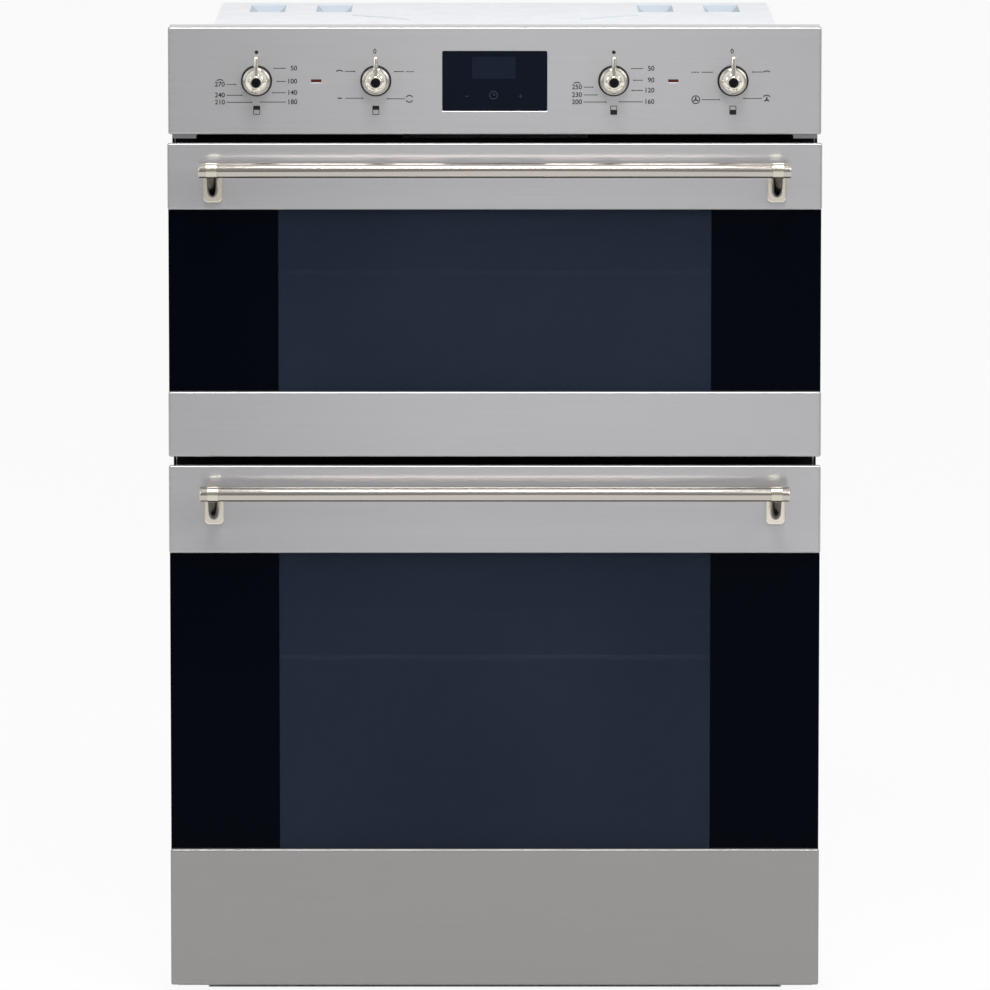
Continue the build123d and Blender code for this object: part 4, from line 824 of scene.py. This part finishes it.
def add_display_face():
    """The display's liquid crystal cell, its three touch signs and the rolled lower lip of its opening."""
    low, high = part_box("display_glass")
    front = low.y
    middle = FASCIA_Z / MM
    cell = bmesh.new()
    cell_level = middle + 11.9
    printed_line(cell, front, (-20.6, cell_level), (19.0, cell_level), 20.1)
    make_piece("display_cell", cell, LCD, "chassis")
    signs = bmesh.new()
    level = middle - 14.0
    printed_line(signs, front, (-27.0, level), (-23.6, level), TOUCH_WIDTH)
    printed_line(signs, front, (21.7, level), (25.1, level), TOUCH_WIDTH)
    printed_line(signs, front, (23.4, level - 1.7), (23.4, level + 1.7), TOUCH_WIDTH)
    clock = (-1.1, level + 1.0)
    printed_arc(signs, front, clock, 3.5, TOUCH_WIDTH, 0, 360)
    printed_line(signs, front, clock, (clock[0], level + 3.2), HAND_WIDTH)
    printed_line(signs, front, clock, (0.6, clock[1]), HAND_WIDTH)
    bmesh.ops.recalc_face_normals(signs, faces=signs.faces)
    make_piece("display_signs", signs, PALE_INK, "chassis")
    edge = bmesh.new()
    lip_top = low.z / MM - DISPLAY_LIP_DROP
    rolled_lip(edge, low.x / MM, high.x / MM, lip_top, DISPLAY_LIP_HEIGHT)
    make_piece("display_opening_edge", edge, GREY_STEEL, "chassis")


def add_lens_edges():
    """The bright lower lip of each lamp slit, midway between two knobs."""
    edges = bmesh.new()
    lip_top = FASCIA_Z / MM - LAMP_LIP_DROP
    for first, second in (KNOBS[:2], KNOBS[2:]):
        x = (knob_x(first) + knob_x(second)) / 2 / MM
        rolled_lip(edges, x - LAMP_SLIT_HALF, x + LAMP_SLIT_HALF, lip_top, LAMP_LIP_HEIGHT)
    make_piece("lens_opening_edges", edges, GREY_STEEL, "chassis")


def add_sheet_edge_highlights():
    """Painted highlights: thin near-white strips on the face sheet, standing for its bare folded edges lit
    in the gap between the doors.
    """
    low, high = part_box("front_frame")
    inset, short, width = 2.6, 4.0, 0.9
    edges = bmesh.new()
    for side in (-1, 1):
        x = side * (high.x / MM - inset)
        printed_line(edges, low.y, (x, low.z / MM + short), (x, high.z / MM - short), width)
    make_piece("face_sheet_edge_painted_highlights", edges, EDGE_PAINTED_HIGHLIGHT, "chassis")


add_knobs()
add_handle_bars()
add_sheet_edge_highlights()
add_lens_edges()
add_fascia_print()
add_display_face()


# Studio: a pale floor, soft light and the photograph's view. Metres
SWEEP_LEFT = {"From Min": -0.75, "From Max": -0.1, "To Min": 0.25, "To Max": 1.0}
SWEEP_RIGHT = {"From Min": 0.35, "From Max": 1.2, "To Min": 1.0, "To Max": 0.25}
SWEEP_NEAR = {"From Min": -3.4, "From Max": -2.2, "To Min": 0.0, "To Max": 1.0}
GROUND_SHARE = 0.93
FLOOR_DROP = 0.0005
FLOOR_HALF = 40.0
LAMPS = (
    ("key", (2.4, -3.2, 2.4), (0, 0, 0.5), 2.4, 2.4, 70.0),
    ("fill", (-2.4, -2.6, 1.8), (0, 0, 0.4), 2.0, 2.0, 22.0),
    ("overhead", (0, -1.76, 3.0), (0, -0.3, 0.7), 1.1, 1.0, 51.0),
)


def studio_floor():
    """Matt white floor: a plain ground that keeps the shadow, and that metal mirrors darker to the sides."""
    material, tree, place = start("matt_white_floor")
    rays = add(tree, "ShaderNodeLightPath", {}, {})
    seen = add(
        tree, "ShaderNodeMath", {"operation": "MAXIMUM"},
        {0: rays.outputs["Is Camera Ray"], 1: rays.outputs["Is Glossy Ray"]},
    )
    looks = add(
        tree, "ShaderNodeMath", {"operation": "MAXIMUM"},
        {0: seen.outputs[0], 1: rays.outputs["Is Transmission Ray"]},
    )
    # Mirrored is a white sweep before the oven, which falls off to the left and, farther out, to the right
    part = add(tree, "ShaderNodeSeparateXYZ", {}, {"Vector": place})
    left = add(tree, "ShaderNodeMapRange", {}, {"Value": part.outputs["X"], **SWEEP_LEFT})
    right = add(tree, "ShaderNodeMapRange", {}, {"Value": part.outputs["X"], **SWEEP_RIGHT})
    sweep = add(
        tree, "ShaderNodeMath", {"operation": "MINIMUM"},
        {0: left.outputs[0], 1: right.outputs[0]},
    )
    near = add(tree, "ShaderNodeMapRange", {}, {"Value": part.outputs["Y"], **SWEEP_NEAR})
    plain = add(
        tree, "ShaderNodeMath", {"operation": "MAXIMUM"},
        {0: near.outputs[0], 1: rays.outputs["Is Camera Ray"]},
    )
    strength = add(
        tree, "ShaderNodeMath", {"operation": "MAXIMUM"},
        {0: sweep.outputs[0], 1: plain.outputs[0]},
    )
    matt = add(tree, "ShaderNodeBsdfDiffuse", {}, {"Color": srgb("F2F2F2")})
    ground = add(tree, "ShaderNodeEmission", {}, {"Strength": strength.outputs[0]})
    share = add(tree, "ShaderNodeMath", {"operation": "MULTIPLY"}, {0: looks.outputs[0], 1: GROUND_SHARE})
    both = add(
        tree, "ShaderNodeMixShader", {},
        {0: share.outputs[0], 1: matt.outputs[0], 2: ground.outputs[0]},
    )
    close(tree, both)
    return material


def add_floor():
    """A wide plane under the base."""
    ground = bmesh.new()
    bmesh.ops.create_grid(ground, x_segments=1, y_segments=1, size=FLOOR_HALF)
    mesh = bpy.data.meshes.new("studio_floor")
    ground.to_mesh(mesh)
    ground.free()
    mesh.materials.append(studio_floor())
    floor = bpy.data.objects.new("studio_floor", mesh)
    floor.location.z = -FLOOR_DROP
    bpy.context.scene.collection.objects.link(floor)


def add_lamp(name, place, target, width, height, power):
    """An oblong soft light that faces a point."""
    lamp = bpy.data.lights.new(name, "AREA")
    lamp.shape = "RECTANGLE"
    lamp.size = width
    lamp.size_y = height
    lamp.energy = power
    hung = bpy.data.objects.new(name, lamp)
    hung.location = place
    hung.rotation_euler = (Vector(target) - Vector(place)).to_track_quat("-Z", "Y").to_euler()
    bpy.context.scene.collection.objects.link(hung)


def add_world():
    """White walls to mirror, dimmer behind the camera, and a softer level for the light that they give."""
    world = bpy.data.worlds.new("studio")
    bpy.context.scene.world = world
    world.use_nodes = True
    tree = world.node_tree
    tree.nodes.clear()
    rays = add(tree, "ShaderNodeLightPath", {}, {})
    mirrored = add(
        tree, "ShaderNodeMath", {"operation": "MAXIMUM"},
        {0: rays.outputs["Is Glossy Ray"], 1: rays.outputs["Is Transmission Ray"]},
    )
    way = add(tree, "ShaderNodeTexCoord", {}, {})
    part = add(tree, "ShaderNodeSeparateXYZ", {}, {"Vector": way.outputs["Generated"]})
    front = add(
        tree, "ShaderNodeMapRange", {},
        {"Value": part.outputs["Y"], "From Min": -0.6, "From Max": -0.1, "To Min": 0.40, "To Max": 1.0},
    )
    upper = add(
        tree, "ShaderNodeMapRange", {},
        {"Value": part.outputs["Z"], "From Min": 0.25, "From Max": 0.5, "To Min": 0.0, "To Max": 0.8},
    )
    walls = add(
        tree, "ShaderNodeMath", {"operation": "MAXIMUM"},
        {0: front.outputs[0], 1: upper.outputs[0]},
    )
    given = add(
        tree, "ShaderNodeMix", {"data_type": "FLOAT"},
        {0: mirrored.outputs[0], 2: 0.45, 3: walls.outputs[0]},
    )
    level = add(
        tree, "ShaderNodeMix", {"data_type": "FLOAT"},
        {0: rays.outputs["Is Camera Ray"], 2: given.outputs[0], 3: 1.0},
    )
    light = add(tree, "ShaderNodeBackground", {}, {"Strength": level.outputs[0]})
    add(tree, "ShaderNodeOutputWorld", {}, {"Surface": light.outputs[0]})


def add_camera():
    """A long lens, a little above the oven's middle and square to its front."""
    pitch = math.radians(7.39)
    distance = 8.0
    target = Vector((0.0002, -0.30, 0.463))
    lens = bpy.data.cameras.new("camera")
    lens.sensor_width = 36.0
    lens.lens = 317.4
    lens.clip_end = 200.0
    camera = bpy.data.objects.new("camera", lens)
    camera.location = target + Vector((0, -math.cos(pitch), math.sin(pitch))) * distance
    camera.rotation_euler = (math.pi / 2 - pitch, 0, 0)
    bpy.context.scene.collection.objects.link(camera)
    bpy.context.scene.camera = camera


add_floor()
add_world()
for lamp in LAMPS:
    add_lamp(*lamp)
add_camera()
bpy.context.scene.view_settings.view_transform = "Standard"
